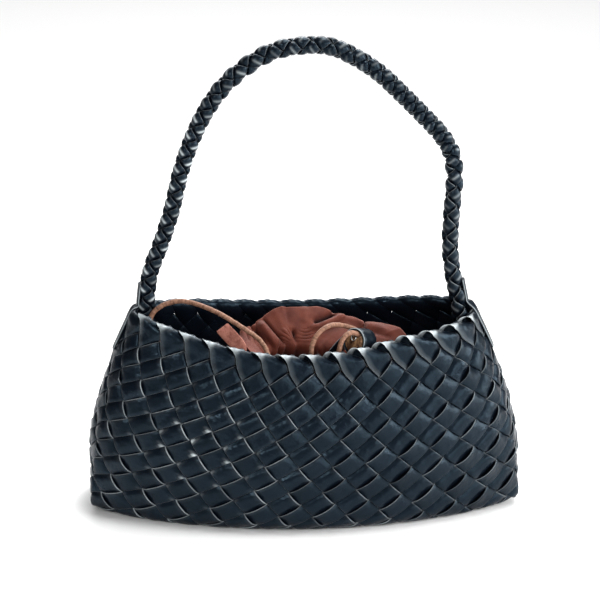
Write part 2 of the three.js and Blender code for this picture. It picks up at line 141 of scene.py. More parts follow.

# Painted highlights on the rim: the arch along a fold's free edge, and a spot on its crown
ARCH_FROM = (-0.3, -0.1)
ARCH_TO = (0.15, 0.4)
ARCH_FADE = 0.85
ARCH_BACK_FADE = 0.8
ARCH_LEFT_SHARE = 0.35
RIM_FAR_HIGHLIGHT = 0.1
RIM_CROWN_HIGHLIGHT = 0.6
RIM_CROWN_HIGHLIGHT_SPREAD = (0.6, 1.2)
RIM_CROWN_HIGHLIGHT_REACH = 0.075
RIM_CROWN_HIGHLIGHT_BACK_FADE = 0.9
RIM_CROWN_HIGHLIGHT_ACROSS = np.array([0.0, 0.0, 0.0, 0.7, 0.9, 0.15] + 8 * [0.0])

# Section of a strip as shares of its half width and half thickness, with rounded edges
STRIP_RING = np.array([
    (-1.0, -0.5), (-1.0, 0.1), (-0.975, 0.65), (-0.905, 1.0), (-0.5, 1.0), (0.0, 1.0), (0.5, 1.0),
    (0.905, 1.0), (0.975, 0.65), (1.0, 0.1), (1.0, -0.5), (0.94, -1.0), (0.0, -1.0), (-0.94, -1.0),
])
FACE_FROM = 0.9

# How much painted highlight each place round that section takes
EDGE_NEAR = np.array([0.0, 0.1, 1.0, 0.05] + 10 * [0.0])
EDGE_FAR = np.array(7 * [0.0] + [0.05, 1.0, 0.1] + 4 * [0.0])
EDGE_BROAD = np.array([0.4, 1.0, 1.0, 0.5] + 10 * [0.0])
PLAIN = np.zeros((1, 1, 1))


def smooth(value, low, high):
    """0 below low, 1 above high, and three x squared less two x cubed between them."""
    share = np.clip((value - low) / (high - low), 0.0, 1.0)
    return share * share * (3.0 - 2.0 * share)


def bell(value, width, middle=0.0):
    """1 at the middle, and e to the power of less the square of the distance over the width."""
    return np.exp(-((value - middle) / width) ** 2)


def unit(vectors):
    """Each vector divided by its length."""
    return vectors / np.maximum(np.linalg.norm(vectors, axis=-1, keepdims=True), 1e-9)


# Shape of the bag


def bow_at(x):
    """1 in the middle of the front or back, falling with the square of x to 0 at the two ends."""
    return np.maximum(0.0, 1.0 - (x / BASE_HALF_LENGTH) ** 2)


def base_outline(fold):
    """Plan of the base by fold number: bowed front and back of 13 folds, straight ends of 3."""
    f = np.mod(fold, FOLDS)
    sign = np.where(f >= FOLDS / 2, -1.0, 1.0)
    g = np.mod(f, FOLDS / 2)
    x = BASE_HALF_LENGTH * (2.0 * np.minimum(g, FOLDS_LONG) / FOLDS_LONG - 1.0)
    depth = BASE_END_HALF_DEPTH + (BASE_HALF_DEPTH - BASE_END_HALF_DEPTH) * bow_at(x)
    across = (2.0 * (g - FOLDS_LONG) / FOLDS_END - 1.0) * BASE_END_HALF_DEPTH
    y = np.where(g <= FOLDS_LONG, -depth, across)
    return np.stack([sign * x, sign * y], -1)


def worn_outline(fold):
    """The base's plan with its corners worn round: a quarter, a half and a quarter of three near folds."""
    near = base_outline(fold - CORNER_WEAR) + base_outline(fold + CORNER_WEAR)
    return 0.25 * near + 0.5 * base_outline(fold)


MOUTH_ANGLES = np.linspace(np.pi, 3 * np.pi, 721)
MOUTH_WALK = np.concatenate([[0.0], np.cumsum(np.hypot(
    np.diff(MOUTH_HALF_LENGTH * np.cos(MOUTH_ANGLES)), np.diff(MOUTH_HALF_DEPTH * np.sin(MOUTH_ANGLES))
))])


def mouth_outline(fold):
    """An ellipse walked at even steps, with fold 0 above the base's first corner."""
    share = np.mod(fold + FOLDS_END / 2, FOLDS) / FOLDS
    angle = np.interp(share * MOUTH_WALK[-1], MOUTH_WALK, MOUTH_ANGLES)
    return np.stack([MOUTH_HALF_LENGTH * np.cos(angle), MOUTH_HALF_DEPTH * np.sin(angle)], -1)


def mouth_height(mouth):
    """Height of the rim: it droops towards the middle of the front, and less towards that of the back."""
    droop = np.where(mouth[..., 1] < 0, DROOP_FRONT, DROOP_BACK)
    bow = np.maximum(0.0, 1.0 - (mouth[..., 0] / MOUTH_HALF_LENGTH) ** 2)
    at_right = smooth(mouth[..., 0], *DROOP_RIGHT_OVER) * smooth(-mouth[..., 1], *DROOP_RIGHT_DEPTHS)
    return MOUTH_END_HEIGHT - droop * bow ** DROOP_POWER - DROOP_RIGHT * at_right


def wall_point(fold, row):
    """Outer skin of the wall: flat on the floor, round a quarter circle, then up, leaning in to the mouth."""
    turned = fold + TWIST * row
    base = base_outline(turned)
    mouth = mouth_outline(turned)
    bow = bow_at(base[..., 0])
    corner = CORNER_AT_ENDS + (CORNER_AT_MIDDLE - CORNER_AT_ENDS) * bow
    bend = corner * np.pi / 2
    wall = (ROWS - LAID_ROWS * bow) * ROW_LENGTH
    along = wall - (ROWS - row) * ROW_LENGTH
    beyond = np.maximum(0.0, np.abs(base[..., 0]) / BASE_HALF_LENGTH - LIFT_FROM) / (1.0 - LIFT_FROM)
    foot = BASE_END_LIFT * beyond ** 2
    rise = mouth_height(mouth) - foot
    angle = np.clip(along / corner, 0.0, np.pi / 2)
    inward = corner * (1.0 - np.sin(angle)) - np.minimum(along, 0.0)
    upright = corner + (rise - corner) * (along - bend) / (wall - bend)
    height = np.where(along < bend, corner * (1.0 - np.cos(angle)), upright)
    lean = np.clip((height / rise - LEAN_STARTS) / (1.0 - LEAN_STARTS), 0.0, 1.0) ** LEAN_POWER
    step = base_outline(turned + OUTLINE_STEP) - base_outline(turned - OUTLINE_STEP)
    outward = unit(np.stack([step[..., 1], -step[..., 0]], -1))
    worn_and_highlit = smooth(height, 0.0, WEAR_FULL_HEIGHT)[..., None]
    plan = base + (worn_outline(turned) - base) * worn_and_highlit
    plan = plan + (mouth - plan) * lean[..., None] - outward * inward[..., None]
    return np.concatenate([plan, (foot + height)[..., None]], -1)


def wall_normal(fold, row):
    """Outward direction: the step round the bag crossed with the step up the wall."""
    low = np.maximum(0.0, row - WALL_STEP)
    around = wall_point(fold + WALL_STEP, row) - wall_point(fold - WALL_STEP, row)
    rising = wall_point(fold, row + WALL_STEP) - wall_point(fold, low)
    return unit(np.cross(around, rising))


def base_point(long, deep):
    """A patch between the four edges where the wall begins: the two blends less that of the corners."""
    u = (long / FOLDS_LONG)[..., None]
    v = (deep / FOLDS_END)[..., None]
    zero = np.zeros_like(long)
    right = FOLDS_LONG + zero
    back = FOLDS_LONG + FOLDS_END + zero
    left = FOLDS - FOLDS_END + zero
    by_depth = wall_point(long, zero) * (1 - v) + wall_point(left - long, zero) * v
    by_length = wall_point(FOLDS - deep, zero) * (1 - u) + wall_point(right + deep, zero) * u
    front = wall_point(zero, zero) * (1 - u) + wall_point(right, zero) * u
    rear = wall_point(left, zero) * (1 - u) + wall_point(back, zero) * u
    return by_depth + by_length - front * (1 - v) - rear * v


def under_point(fold, row):
    """The place on the base that carries a fold on below row 0, by the base's side that it stands on."""
    f = np.mod(fold, FOLDS)
    right = FOLDS_LONG
    back = FOLDS_LONG + FOLDS_END
    left = FOLDS - FOLDS_END
    side = [f <= right, f <= back, f <= left]
    long = np.select(side, [f, right + row, right - (f - back)], -row)
    deep = np.select(side, [-row, f - right, FOLDS_END + row], FOLDS_END - (f - left))
    return base_point(long, deep)


def bag_skin(fold, row):
    """Point, outward direction and height of the plait's middle, on the wall or below it on the base."""
    on_wall = (row >= 0)[..., None]
    above = np.maximum(row, 0.0)
    below = np.minimum(row, 0.0)
    point = np.where(on_wall, wall_point(fold, above), under_point(fold, below))
    normal = np.where(on_wall, wall_normal(fold, above), DOWN)
    proud = RELIEF * smooth(point[..., 2], *RELIEF_HEIGHTS) - WEAVE - STRIP / 2
    return point, normal, proud


# Meshes


def put_mesh(name, points, faces, material, caps=(), uv=None, values=None):
    """A piece from points in millimetres and arrays of faces: smooth, but for the flat caps at ends."""
    mesh = bpy.data.meshes.new(name)
    groups = [group for group in (*faces, *caps) if len(group)]
    loops = np.concatenate([group.ravel() for group in groups]).astype(np.int32)
    sides = np.concatenate([np.full(len(group), group.shape[1]) for group in groups])
    flat = sum(len(group) for group in caps)
    mesh.vertices.add(len(points))
    mesh.vertices.foreach_set("co", (points * MM).astype(np.float32).ravel())
    mesh.loops.add(len(loops))
    mesh.loops.foreach_set("vertex_index", loops)
    mesh.polygons.add(len(sides))
    mesh.polygons.foreach_set("loop_start", (np.cumsum(sides) - sides).astype(np.int32))
    mesh.polygons.foreach_set("use_smooth", np.arange(len(sides)) < len(sides) - flat)
    if uv is not None:
        layer = mesh.uv_layers.new(name="UVMap")
        layer.data.foreach_set("uv", uv[loops].astype(np.float32).ravel())
    for label, numbers in (values or {}).items():
        made = mesh.attributes.new(label, "FLOAT", "POINT")
        made.data.foreach_set("value", numbers.astype(np.float32).ravel())
    mesh.materials.append(material)
    mesh.update(calc_edges=True)
    mesh.validate()
    piece = bpy.data.objects.new(name, mesh)
    bpy.context.scene.collection.objects.link(piece)
    return piece


def tube_faces(index):
    """Quads of closed tubes from point numbers by tube, station and place round it, and the end caps."""
    turned = np.roll(index, -1, axis=2)
    quads = np.stack([index[:, :-1], turned[:, :-1], turned[:, 1:], index[:, 1:]], -1)
    return quads.reshape(-1, 4), (index[:, 0, ::-1], index[:, -1, :])


def put_strips(name, points, along, tone, painted_highlight, material, ring=STRIP_RING):
    """Flat strips as closed tubes: points by strip, station and place round the ring, and their painted
    highlights.
    """
    strips, stations, places = points.shape[:3]
    index = np.arange(strips * stations * places).reshape(strips, stations, places)
    quads, caps = tube_faces(index)
    across = np.broadcast_to(ring[:, 0], (strips, stations, places))
    uv = np.stack([across.ravel(), np.broadcast_to(along, across.shape).ravel()], -1)
    given = {"edge": painted_highlight, "tone": tone}
    values = {label: np.broadcast_to(value, across.shape).ravel() for label, value in given.items()}
    return put_mesh(name, points.reshape(-1, 3), [quads], material, caps, uv, values)


# Finishes, with colours as shares of red, green and blue

LEATHER_DARK = (0.002, 0.0035, 0.0065)
LEATHER_PALE = (0.005, 0.008, 0.0135)
# Pale colour of the painted highlights on the black leather
LEATHER_HIGHLIGHT = (0.7, 0.77, 0.79, 1.0)
LEATHER_CLOUDS = (0.3, 1.0)
LEATHER_ROUGH = (0.4, 0.2)
PORE_STOPS = (0.3, 0.48, 0.75)
CORD_SHADES = ((0.06, 0.026, 0.017), (0.22, 0.106, 0.064), (0.37, 0.205, 0.135))
TAG_SHADES = ((0.23, 0.075, 0.055), (0.39, 0.145, 0.105), (0.5, 0.22, 0.165))
ROLL_SHADES = ((0.018, 0.011, 0.008), (0.17, 0.085, 0.04), (0.48, 0.28, 0.13))
CLOTH_DARK = (0.088, 0.0195, 0.0115)
CLOTH_PALE = (0.152, 0.036, 0.02)
# Colour of the painted highlight along the hem
CLOTH_HEM_HIGHLIGHT = (0.42, 0.17, 0.13, 1.0)
# Colour of the painted shade in the folds
CLOTH_FOLD_SHADE = (0.02, 0.004, 0.005, 1.0)
CLOTH_RIBS = 420.0
CLOTH_THREADS = 520.0
METAL_GREY = (0.45, 0.45, 0.44, 1.0)
FLOOR_PALE = (0.92, 0.92, 0.92, 1.0)


def add_node(tree, kind, inputs=None, **settings):
    """A shader node with its settings, and its inputs given as values or as other nodes' outputs."""
    node = tree.nodes.new(kind)
    for name, value in settings.items():
        setattr(node, name, value)
    for name, value in (inputs or {}).items():
        if isinstance(value, bpy.types.NodeSocket):
            tree.links.new(value, node.inputs[name])
        else:
            node.inputs[name].default_value = value
    return node


def new_finish(name, **sockets):
    """A material whose shader's own sockets hold the given values."""
    material = bpy.data.materials.new(name)
    material.use_nodes = True
    tree = material.node_tree
    shader = tree.nodes["Principled BSDF"]
    for socket, value in sockets.items():
        shader.inputs[socket.replace("_", " ")].default_value = value
    return material, tree, shader


def colour_ramp(tree, factor, stops):
    """Colours blended between stops of place and colour."""
    ramp = add_node(tree, "ShaderNodeValToRGB", {"Fac": factor})
    ramp.color_ramp.elements[0].position = stops[0][0]
    ramp.color_ramp.elements[0].color = (*stops[0][1], 1.0)
    ramp.color_ramp.elements[1].position = stops[-1][0]
    ramp.color_ramp.elements[1].color = (*stops[-1][1], 1.0)
    for place, colour in stops[1:-1]:
        ramp.color_ramp.elements.new(place).color = (*colour, 1.0)
    return ramp.outputs["Color"]


def stored(tree, name):
    """A value that the piece's points carry."""
    return add_node(tree, "ShaderNodeAttribute", attribute_name=name).outputs["Fac"]


def clouds(tree, vector, scale, detail, **more):
    """Cloudy values about a half."""
    inputs = {"Vector": vector, "Scale": scale, "Detail": detail, **more}
    return add_node(tree, "ShaderNodeTexNoise", inputs).outputs["Fac"]


def bands(tree, vector, scale, direction):
    """Even bands, as of threads side by side."""
    inputs = {"Vector": vector, "Scale": scale}
    return add_node(tree, "ShaderNodeTexWave", inputs, bands_direction=direction).outputs["Fac"]


def added(tree, first, second):
    """The sum of two values."""
    return add_node(tree, "ShaderNodeMath", {0: first, 1: second}, operation="ADD").outputs["Value"]


def blended(tree, factor, first, second):
    """A colour between two others."""
    inputs = {"Factor": factor, "A": first, "B": second}
    return add_node(tree, "ShaderNodeMix", inputs, data_type="RGBA").outputs["Result"]


def moved(tree, value, span, new_span):
    """A value carried from one span to another."""
    inputs = {"Value": value, "From Min": span[0], "From Max": span[1]}
    inputs.update({"To Min": new_span[0], "To Max": new_span[1]})
    return add_node(tree, "ShaderNodeMapRange", inputs).outputs["Result"]


def bumps(tree, height, strength, distance, **more):
    """Directions of a surface that rises and falls with the height."""
    inputs = {"Height": height, "Strength": strength, "Distance": distance, **more}
    return add_node(tree, "ShaderNodeBump", inputs).outputs["Normal"]


def black_leather():
    """Near black leather with a blue cast: cloudy gloss, fine grain, and pale painted highlights on edges,
    rim folds, corners and the braid's strips.
    """
    material, tree, shader = new_finish(
        "leather_black_strip", Specular_IOR_Level=0.2, Specular_Tint=(0.5, 0.78, 1.0, 1.0)
    )
    place = add_node(tree, "ShaderNodeTexCoord").outputs["Object"]
    mixed = added(tree, clouds(tree, place, 70.0, 3.0), stored(tree, "tone"))
    skin = colour_ramp(tree, mixed, list(zip(LEATHER_CLOUDS, (LEATHER_DARK, LEATHER_PALE))))
    # Painted highlights mixed in by the stored edge value
    worn_and_highlit = blended(tree, stored(tree, "edge"), skin, LEATHER_HIGHLIGHT)
    tree.links.new(worn_and_highlit, shader.inputs["Base Color"])
    tree.links.new(moved(tree, mixed, LEATHER_CLOUDS, LEATHER_ROUGH), shader.inputs["Roughness"])
    pebble = add_node(
        tree, "ShaderNodeTexVoronoi", {"Vector": place, "Scale": 1300.0}, feature="SMOOTH_F1"
    ).outputs["Distance"]
    fine = bumps(tree, pebble, 0.12, 0.0003)
    broad = bumps(tree, clouds(tree, place, 160.0, 2.0), 0.45, 0.0015, Normal=fine)
    tree.links.new(broad, shader.inputs["Normal"])
    return material


def tan_leather(name, vector, stretch, shades):
    """Tan leather from dark pores to pale skin; the stretch draws the pores out across a cord."""
    material, tree, shader = new_finish(name, Roughness=0.6, Specular_IOR_Level=0.35)
    place = add_node(tree, "ShaderNodeTexCoord").outputs[vector]
    mapped = add_node(tree, "ShaderNodeMapping", {"Vector": place, "Scale": stretch}).outputs["Vector"]
    pores = clouds(tree, mapped, 1.0, 4.0, Roughness=0.65)
    tree.links.new(colour_ramp(tree, pores, list(zip(PORE_STOPS, shades))), shader.inputs["Base Color"])
    tree.links.new(bumps(tree, pores, 0.6, 0.0004), shader.inputs["Normal"])
    return material


def rust_cloth():
    """Rust brown cloth: ribs crossed by threads, cloudy colour, a light nap, a painted highlight along the
    hem and painted shade in the folds.
    """
    material, tree, shader = new_finish(
        "cloth_rust_pouch", Roughness=0.72, Specular_IOR_Level=0.25, Sheen_Weight=0.12, Sheen_Roughness=0.4
    )
    place = add_node(tree, "ShaderNodeTexCoord").outputs
    ribs = bands(tree, place["UV"], CLOTH_RIBS, "Y")
    woven = added(tree, ribs, bands(tree, place["UV"], CLOTH_THREADS, "X"))
    cloud = clouds(tree, place["Object"], 90.0, 4.0)
    colour = colour_ramp(tree, cloud, [(0.3, CLOTH_DARK), (0.7, CLOTH_PALE)])
    # Painted highlight along the hem
    hemmed = blended(tree, stored(tree, "edge"), colour, CLOTH_HEM_HIGHLIGHT)
    # Painted shade in the folds
    folded = blended(tree, stored(tree, "tone"), hemmed, CLOTH_FOLD_SHADE)
    tree.links.new(folded, shader.inputs["Base Color"])
    tree.links.new(bumps(tree, woven, 0.35, 0.00025), shader.inputs["Normal"])
    return material


def eyelet_metal():
    """Dark plated metal, scratched a little."""
    material, tree, shader = new_finish("eyelet_dark_metal", Metallic=1.0, Base_Color=METAL_GREY)
    place = add_node(tree, "ShaderNodeTexCoord").outputs["Object"]
    scratch = clouds(tree, place, 900.0, 5.0)
    tree.links.new(moved(tree, scratch, (0.0, 1.0), (0.12, 0.4)), shader.inputs["Roughness"])
    return material


BLACK = black_leather()
CORD_TAN = tan_leather("leather_tan_cord", "UV", (170.0, 620.0, 1.0), CORD_SHADES)
TAG_TAN = tan_leather("leather_tan_tag", "Object", (420.0, 420.0, 420.0), TAG_SHADES)
ROLL_TAN = tan_leather("leather_tan_roll", "Object", (260.0, 260.0, 260.0), ROLL_SHADES)
CLOTH = rust_cloth()
METAL = eyelet_metal()


# Camera, floor and light

CAMERA_TURN = np.radians(-3.0)
CAMERA_TIP = np.radians(17.0)
CAMERA_AWAY = 1.3
CAMERA_AIM = (-0.003, 0.0, 0.156)
CAMERA_LENS = 104.6
CAMERA_SENSOR = 36.0
FLOOR_REACH = 9000.0
FLOOR_DROP = 0.2
SURROUND_STRENGTH = 0.05


def place_camera():
    """The photograph's view: 3 degrees to the left of the front and 17 above it, 1.3 m away."""
    level = np.cos(CAMERA_TIP)
    back = Vector((np.sin(CAMERA_TURN) * level, -np.cos(CAMERA_TURN) * level, np.sin(CAMERA_TIP)))
    camera = bpy.data.objects.new("camera", bpy.data.cameras.new("camera"))
    camera.data.lens = CAMERA_LENS
    camera.data.sensor_width = CAMERA_SENSOR
    camera.location = Vector(CAMERA_AIM) + back * CAMERA_AWAY
    camera.rotation_mode = "QUATERNION"
    camera.rotation_quaternion = (-back).to_track_quat("-Z", "Y")
    camera.data.clip_start = 0.05
    bpy.context.scene.collection.objects.link(camera)
    bpy.context.scene.camera = camera


def put_light(name, place, aim, size, power):
    """A soft flat lamp that looks at a point."""
    lamp = bpy.data.lights.new(name, "AREA")
    lamp.shape = "RECTANGLE"
    lamp.size, lamp.size_y = size
    lamp.energy = power
    light = bpy.data.objects.new(name, lamp)
    light.location = place
    light.rotation_mode = "QUATERNION"
    light.rotation_quaternion = (Vector(aim) - Vector(place)).to_track_quat("-Z", "Y")
    bpy.context.scene.collection.objects.link(light)


def put_floor():
    """A wide pale floor, which is the whole background from the photograph's height."""
    corners = FLOOR_REACH * np.array([(-1.0, -1.0), (1.0, -1.0), (1.0, 1.0), (-1.0, 1.0)])
    points = np.concatenate([corners, np.full((4, 1), -FLOOR_DROP)], -1)
    material = new_finish("floor_pale", Roughness=0.7, Specular_IOR_Level=0.2, Base_Color=FLOOR_PALE)[0]
    put_mesh("floor", points, [np.array([[0, 1, 2, 3]])], material)


def put_world():
    """An even pale surround."""
    world = bpy.data.worlds.new("surround")
    world.use_nodes = True
    light = world.node_tree.nodes["Background"].inputs
    light["Color"].default_value = (1.0, 1.0, 1.0, 1.0)
    light["Strength"].default_value = SURROUND_STRENGTH
    bpy.context.scene.world = world


place_camera()
put_floor()
put_world()
put_light("top_soft", (0.25, 0.1, 1.4), (0.0, 0.0, 0.1), (0.6, 0.5), 14.0)
put_light("crown_light", (0.25, 1.15, 1.2), (0.0, 0.0, 0.12), (1.4, 0.45), 26.0)
put_light("floor_wash", (0.0, 2.6, 2.6), (0.0, 2.4, 0.0), (4.5, 2.8), 110.0)
put_light("right_front_soft", (1.0, -1.6, 0.7), (0.0, 0.0, 0.1), (0.9, 0.9), 15.0)
put_light("right_soft", (1.9, -0.5, 0.8), (0.0, 0.0, 0.1), (1.2, 1.2), 50.0)
put_light("left_spark", (-0.75, -1.2, 0.85), (-0.07, 0.0, 0.07), (0.2, 0.2), 7.0)
bpy.context.scene.view_settings.view_transform = "Standard"


# Cords: the drawstring's routes, in metres, as the part's source lists them in millimetres

CORD_RADIUS = 1.8
CORD_EASING = 6
CORD_STEPS = 160
CORD_SIDES = 14
CORD_UNEVEN = 0.04
CORD_UNEVEN_PITCH = 0.9
CORD_UNEVEN_TURN = 0.05
CORD_LEFT_ROUTE = [
    (-0.020, -0.0314, 0.101), (-0.022, -0.0375, 0.105), (-0.025, -0.040, 0.112), (-0.027, -0.040, 0.121),
    (-0.0295, -0.037, 0.1295), (-0.034, -0.032, 0.1355), (-0.042, -0.027, 0.1405), (-0.052, -0.022, 0.146),
    (-0.062, -0.017, 0.151), (-0.073, -0.012, 0.155), (-0.083, -0.008, 0.1575), (-0.092, -0.006, 0.1585),
    (-0.102, -0.0055, 0.1565), (-0.109, -0.0065, 0.153), (-0.1135, -0.0075, 0.148), (-0.1145, -0.008, 0.141),
    (-0.1125, -0.008, 0.133), (-0.1085, -0.0075, 0.126), (-0.104, -0.007, 0.120),
]
CORD_RIGHT_ROUTE = [
    (0.005, -0.0334, 0.1036), (0.0047, -0.0377, 0.1063), (0.0044, -0.0406, 0.1105),
    (0.0038, -0.0419, 0.1154), (0.0033, -0.0423, 0.1204), (0.0029, -0.0422, 0.1255),
    (0.0031, -0.0419, 0.1306), (0.0041, -0.0413, 0.1355), (0.0062, -0.0403, 0.14),
    (0.0095, -0.0387, 0.1436), (0.0135, -0.0365, 0.1458), (0.0177, -0.0338, 0.1467),
    (0.0217, -0.0307, 0.1461), (0.0254, -0.0275, 0.1447), (0.0289, -0.0243, 0.1429),
    (0.0322, -0.0209, 0.1409), (0.0355, -0.0177, 0.1387), (0.0388, -0.0148, 0.1362),
    (0.0428, -0.0129, 0.1336), (0.0474, -0.0135, 0.1317), (0.0504, -0.0173, 0.1319),
    (0.0497, -0.0218, 0.134), (0.0468, -0.0255, 0.1358), (0.0433, -0.0289, 0.1372),
    (0.0398, -0.0324, 0.1386), (0.0364, -0.0358, 0.1403), (0.0332, -0.0389, 0.1427),
    (0.0292, -0.0418, 0.1426), (0.0258, -0.0431, 0.1391), (0.024, -0.0431, 0.1343),
    (0.023, -0.0428, 0.1294), (0.0227, -0.0425, 0.1243), (0.0227, -0.0423, 0.1192),
    (0.023, -0.0416, 0.1141), (0.0235, -0.0399, 0.1094), (0.0239, -0.0364, 0.1057),
    (0.024, -0.0318, 0.1036),
]


def cubic(start, leaving, end, arriving, t):
    """The cubic from start to end that leaves and arrives with the given slopes, at shares t of the way."""
    first = (2 * t ** 3 - 3 * t ** 2 + 1) * start + (t ** 3 - 2 * t ** 2 + t) * leaving
    return first + (3 * t ** 2 - 2 * t ** 3) * end + (t ** 3 - t ** 2) * arriving


def smooth_route(route, count):
    """A curve through the points: cubics between them, with knots spaced by the root of the distance."""
    points = np.asarray(route, float)
    points = np.concatenate([2 * points[:1] - points[1:2], points, 2 * points[-1:] - points[-2:-1]])
    knots = np.sqrt(np.linalg.norm(np.diff(points, axis=0), axis=1))
    place = np.linspace(0.0, len(route) - 1, count)
    i = np.minimum(place.astype(int), len(route) - 2)
    t = (place - i)[:, None]
    p0, p1, p2, p3 = points[i], points[i + 1], points[i + 2], points[i + 3]
    d0, d1, d2 = knots[i][:, None], knots[i + 1][:, None], knots[i + 2][:, None]
    m1 = d1 * ((p1 - p0) / d0 - (p2 - p0) / (d0 + d1) + (p2 - p1) / d1)
    m2 = d1 * ((p2 - p1) / d1 - (p3 - p1) / (d1 + d2) + (p3 - p2) / d2)
    return cubic(p1, m1, p2, m2, t)


def walk(points):
    """Length walked along a path up to each of its points."""
    return np.concatenate([[0.0], np.cumsum(np.linalg.norm(np.diff(points, axis=0), axis=1))])


def along_path(station, stations, path):
    """Points of a path between its own stations."""
    return np.stack([np.interp(station, stations, path[:, axis]) for axis in range(3)], -1)


def even_route(route, count):
    """The smooth curve again, at points an even walk apart."""
    fine = smooth_route(route, 4 * count)
    gone = walk(fine)
    return along_path(np.linspace(0.0, gone[-1], count), gone, fine)


def put_cord(name, node, route, side_of):
    """A round cord: circles across the route, a little uneven in thickness, with closed ends."""
    centres = even_route(np.asarray(route) / MM, CORD_STEPS)
    for _ in range(CORD_EASING):
        centres[1:-1] = 0.25 * centres[:-2] + 0.5 * centres[1:-1] + 0.25 * centres[2:]
    gone = walk(centres)
    tangent = unit(np.gradient(centres, axis=0))
    across = unit(np.cross(tangent, np.asarray(side_of, float)))
    other = np.cross(tangent, across)
    angle = np.linspace(0.0, 2 * np.pi, CORD_SIDES, endpoint=False)
    swell = CORD_UNEVEN * np.sin(gone * CORD_UNEVEN_PITCH)[:, None]
    uneven = 1.0 + swell * np.cos(angle + CORD_UNEVEN_TURN * gone[:, None])
    ring = across[:, None] * np.cos(angle)[:, None] + other[:, None] * np.sin(angle)[:, None]
    points = centres[:, None] + CORD_RADIUS * uneven[..., None] * ring
    index = np.arange(points.shape[0] * points.shape[1]).reshape(1, *points.shape[:2])
    quads, caps = tube_faces(index[:, :, ::-1])
    uv = np.stack(np.broadcast_arrays(angle * CORD_RADIUS * MM, gone[:, None] * MM), -1).reshape(-1, 2)
    piece = put_mesh(name, points.reshape(-1, 3), [quads], CORD_TAN, caps, uv)
    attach(piece, "root")
    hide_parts(node)


put_cord(
    "drawcord_left_skin", "drawcord_left", CORD_LEFT_ROUTE, (0.2, 1.0, 0.3),
)
put_cord(
    "drawcord_right_skin", "drawcord_right", CORD_RIGHT_ROUTE, (0.9, -0.5, 0.2),
)


# Plaited wall


def strip_section(ring, share, thickness):
    """Places across a cell, from 0 to 1, and heights through the leather, round a strip's section."""
    return 0.5 + 0.5 * share * ring[:, 0], 0.5 * thickness * ring[:, 1]


def strip_walk(cells):
    """Stations along a strip, counted in cells, and the cell that each one is in."""
    gone = np.linspace(0.0, cells, cells * CELL_STEPS + 1)[None, :, None]
    return gone, np.minimum(gone.astype(int), cells - 1)


def strip_course(number, across, gone, cell, rising):
    """Fold and row of each place on a strip, and 1 or -1 where it goes over or under the strip it meets.

    Rising strips keep fold less row, falling ones fold plus row, and over and under change from cell to cell.
    """
    if rising:
        fold = number + (across + gone) / 2
        row = (gone - across) / 2
    else:
        fold = number + (across + 1.0 - gone) / 2
        row = (across - 1.0 + gone) / 2
    over = np.where((cell % 2 == 0) == rising, 1.0, -1.0)
    return fold, np.broadcast_to(row, fold.shape), over


def draw_by_cell(span, strips, cell):
    """A chance value within the span for each strip and cell, at every station."""
    drawn = chance.uniform(*span, (strips, cell.max() + 1))
    return drawn[:, cell[0, :, 0]][..., None]


def plait_offset(over, along, edge_lift):
    """Height of a strip over the plait's middle: a flat-topped wave, and a lens of lift at its edges.

    Crossing lines lie a dip below the middle, so that a strip has gone down before it meets the next one.
    """
    wave = 1.0 - np.abs(2.0 * along - 1.0) ** WAVE_POWER
    lens = 1.0 - (2.0 * along - 1.0) ** 2
    return -DIP + over * (WEAVE + over * DIP) * wave + np.where(over > 0, lens * edge_lift, 0.0)


def painted_corner_glints(point, along, across, over, slack, rising):
    """Painted glints at one corner of the upper strips: bells along and across a cell, and over the front's
    left.
    """
    inset = 1.0 - GLINT_INSET if rising else GLINT_INSET
    corner = bell(along, GLINT_LENGTH, GLINT_ALONG) * bell(across, GLINT_WIDTH, inset) * (over > 0)
    where = np.prod(bell(point[..., [0, 2]], GLINT_REACH, GLINT_MIDDLE), -1) * smooth(-point[..., 1], *GLINT_DEPTHS)
    return CORNER_GLINT * (slack - GLINT_SLACK) * where * corner * (STRIP_RING[:, 1] > FACE_FROM)


def put_wall():
    """The 32 rising and 32 falling strips of the wall, over and under each other."""
    across, thick = strip_section(STRIP_RING, STRIP_SHARE, STRIP)
    gone, cell = strip_walk(2 * ROWS - 1)
    along = gone - cell
    number = np.arange(FOLDS)[:, None, None]
    for name, rising in (("plait_rising", True), ("plait_falling", False)):
        slack = draw_by_cell(STRIP_SLACK, FOLDS, cell)
        tone = draw_by_cell(STRIP_TONE, FOLDS, cell)
        fold, row, over = strip_course(number, across, gone, cell, rising)
        point, normal, proud = bag_skin(fold, row)
        along_side = np.mod(fold + TWIST * row, FOLDS / 2)
        rightward = smooth(along_side, *LOOSENS_OVER)
        if rising:
            lift = LIFT_RISING * (1.0 - across) ** 2
        else:
            lift = LIFT_FALLING * (across ** 2 + LIFT_NEAR_SHARE * (1.0 - across) ** 2)
            lift = lift + LIFT_FALLING_LEFT * (1.0 - rightward) * across ** 2
        free = rightward * (1.0 - smooth(along_side, FOLDS_LONG - 1.0, FOLDS_LONG + 0.5))
        loose = (LIFT_ON_LEFT + (1.0 - LIFT_ON_LEFT) * free) * smooth(point[..., 2], *LOOSE_HEIGHTS)
        height = proud + plait_offset(over, along, lift * slack * loose) + thick
        # Painted highlight on the edges that catch the light
        far_edge = FAR_EDGE_RISING if rising else FAR_EDGE_FALLING
        spared = 0.0 if rising else EDGE_SPARED_RIGHT * rightward
        highlight_strength = EDGE_HIGHLIGHT - EDGE_HIGHLIGHT_RIGHT * rightward + EDGE_HIGHLIGHT_SPREAD * tone
        painted_highlight = highlight_strength * (1.0 - spared) * ((1.0 - far_edge) * EDGE_NEAR + far_edge * EDGE_FAR)
        # Painted glints at the upper strips' corners on the front's left
        painted_highlight = painted_highlight + painted_corner_glints(point, along, across, over, slack, rising)
        piece = put_strips(name, point + normal * height[..., None], gone, tone, painted_highlight, BLACK)
        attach(piece, "root")
        if rising:
            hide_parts("woven_body")


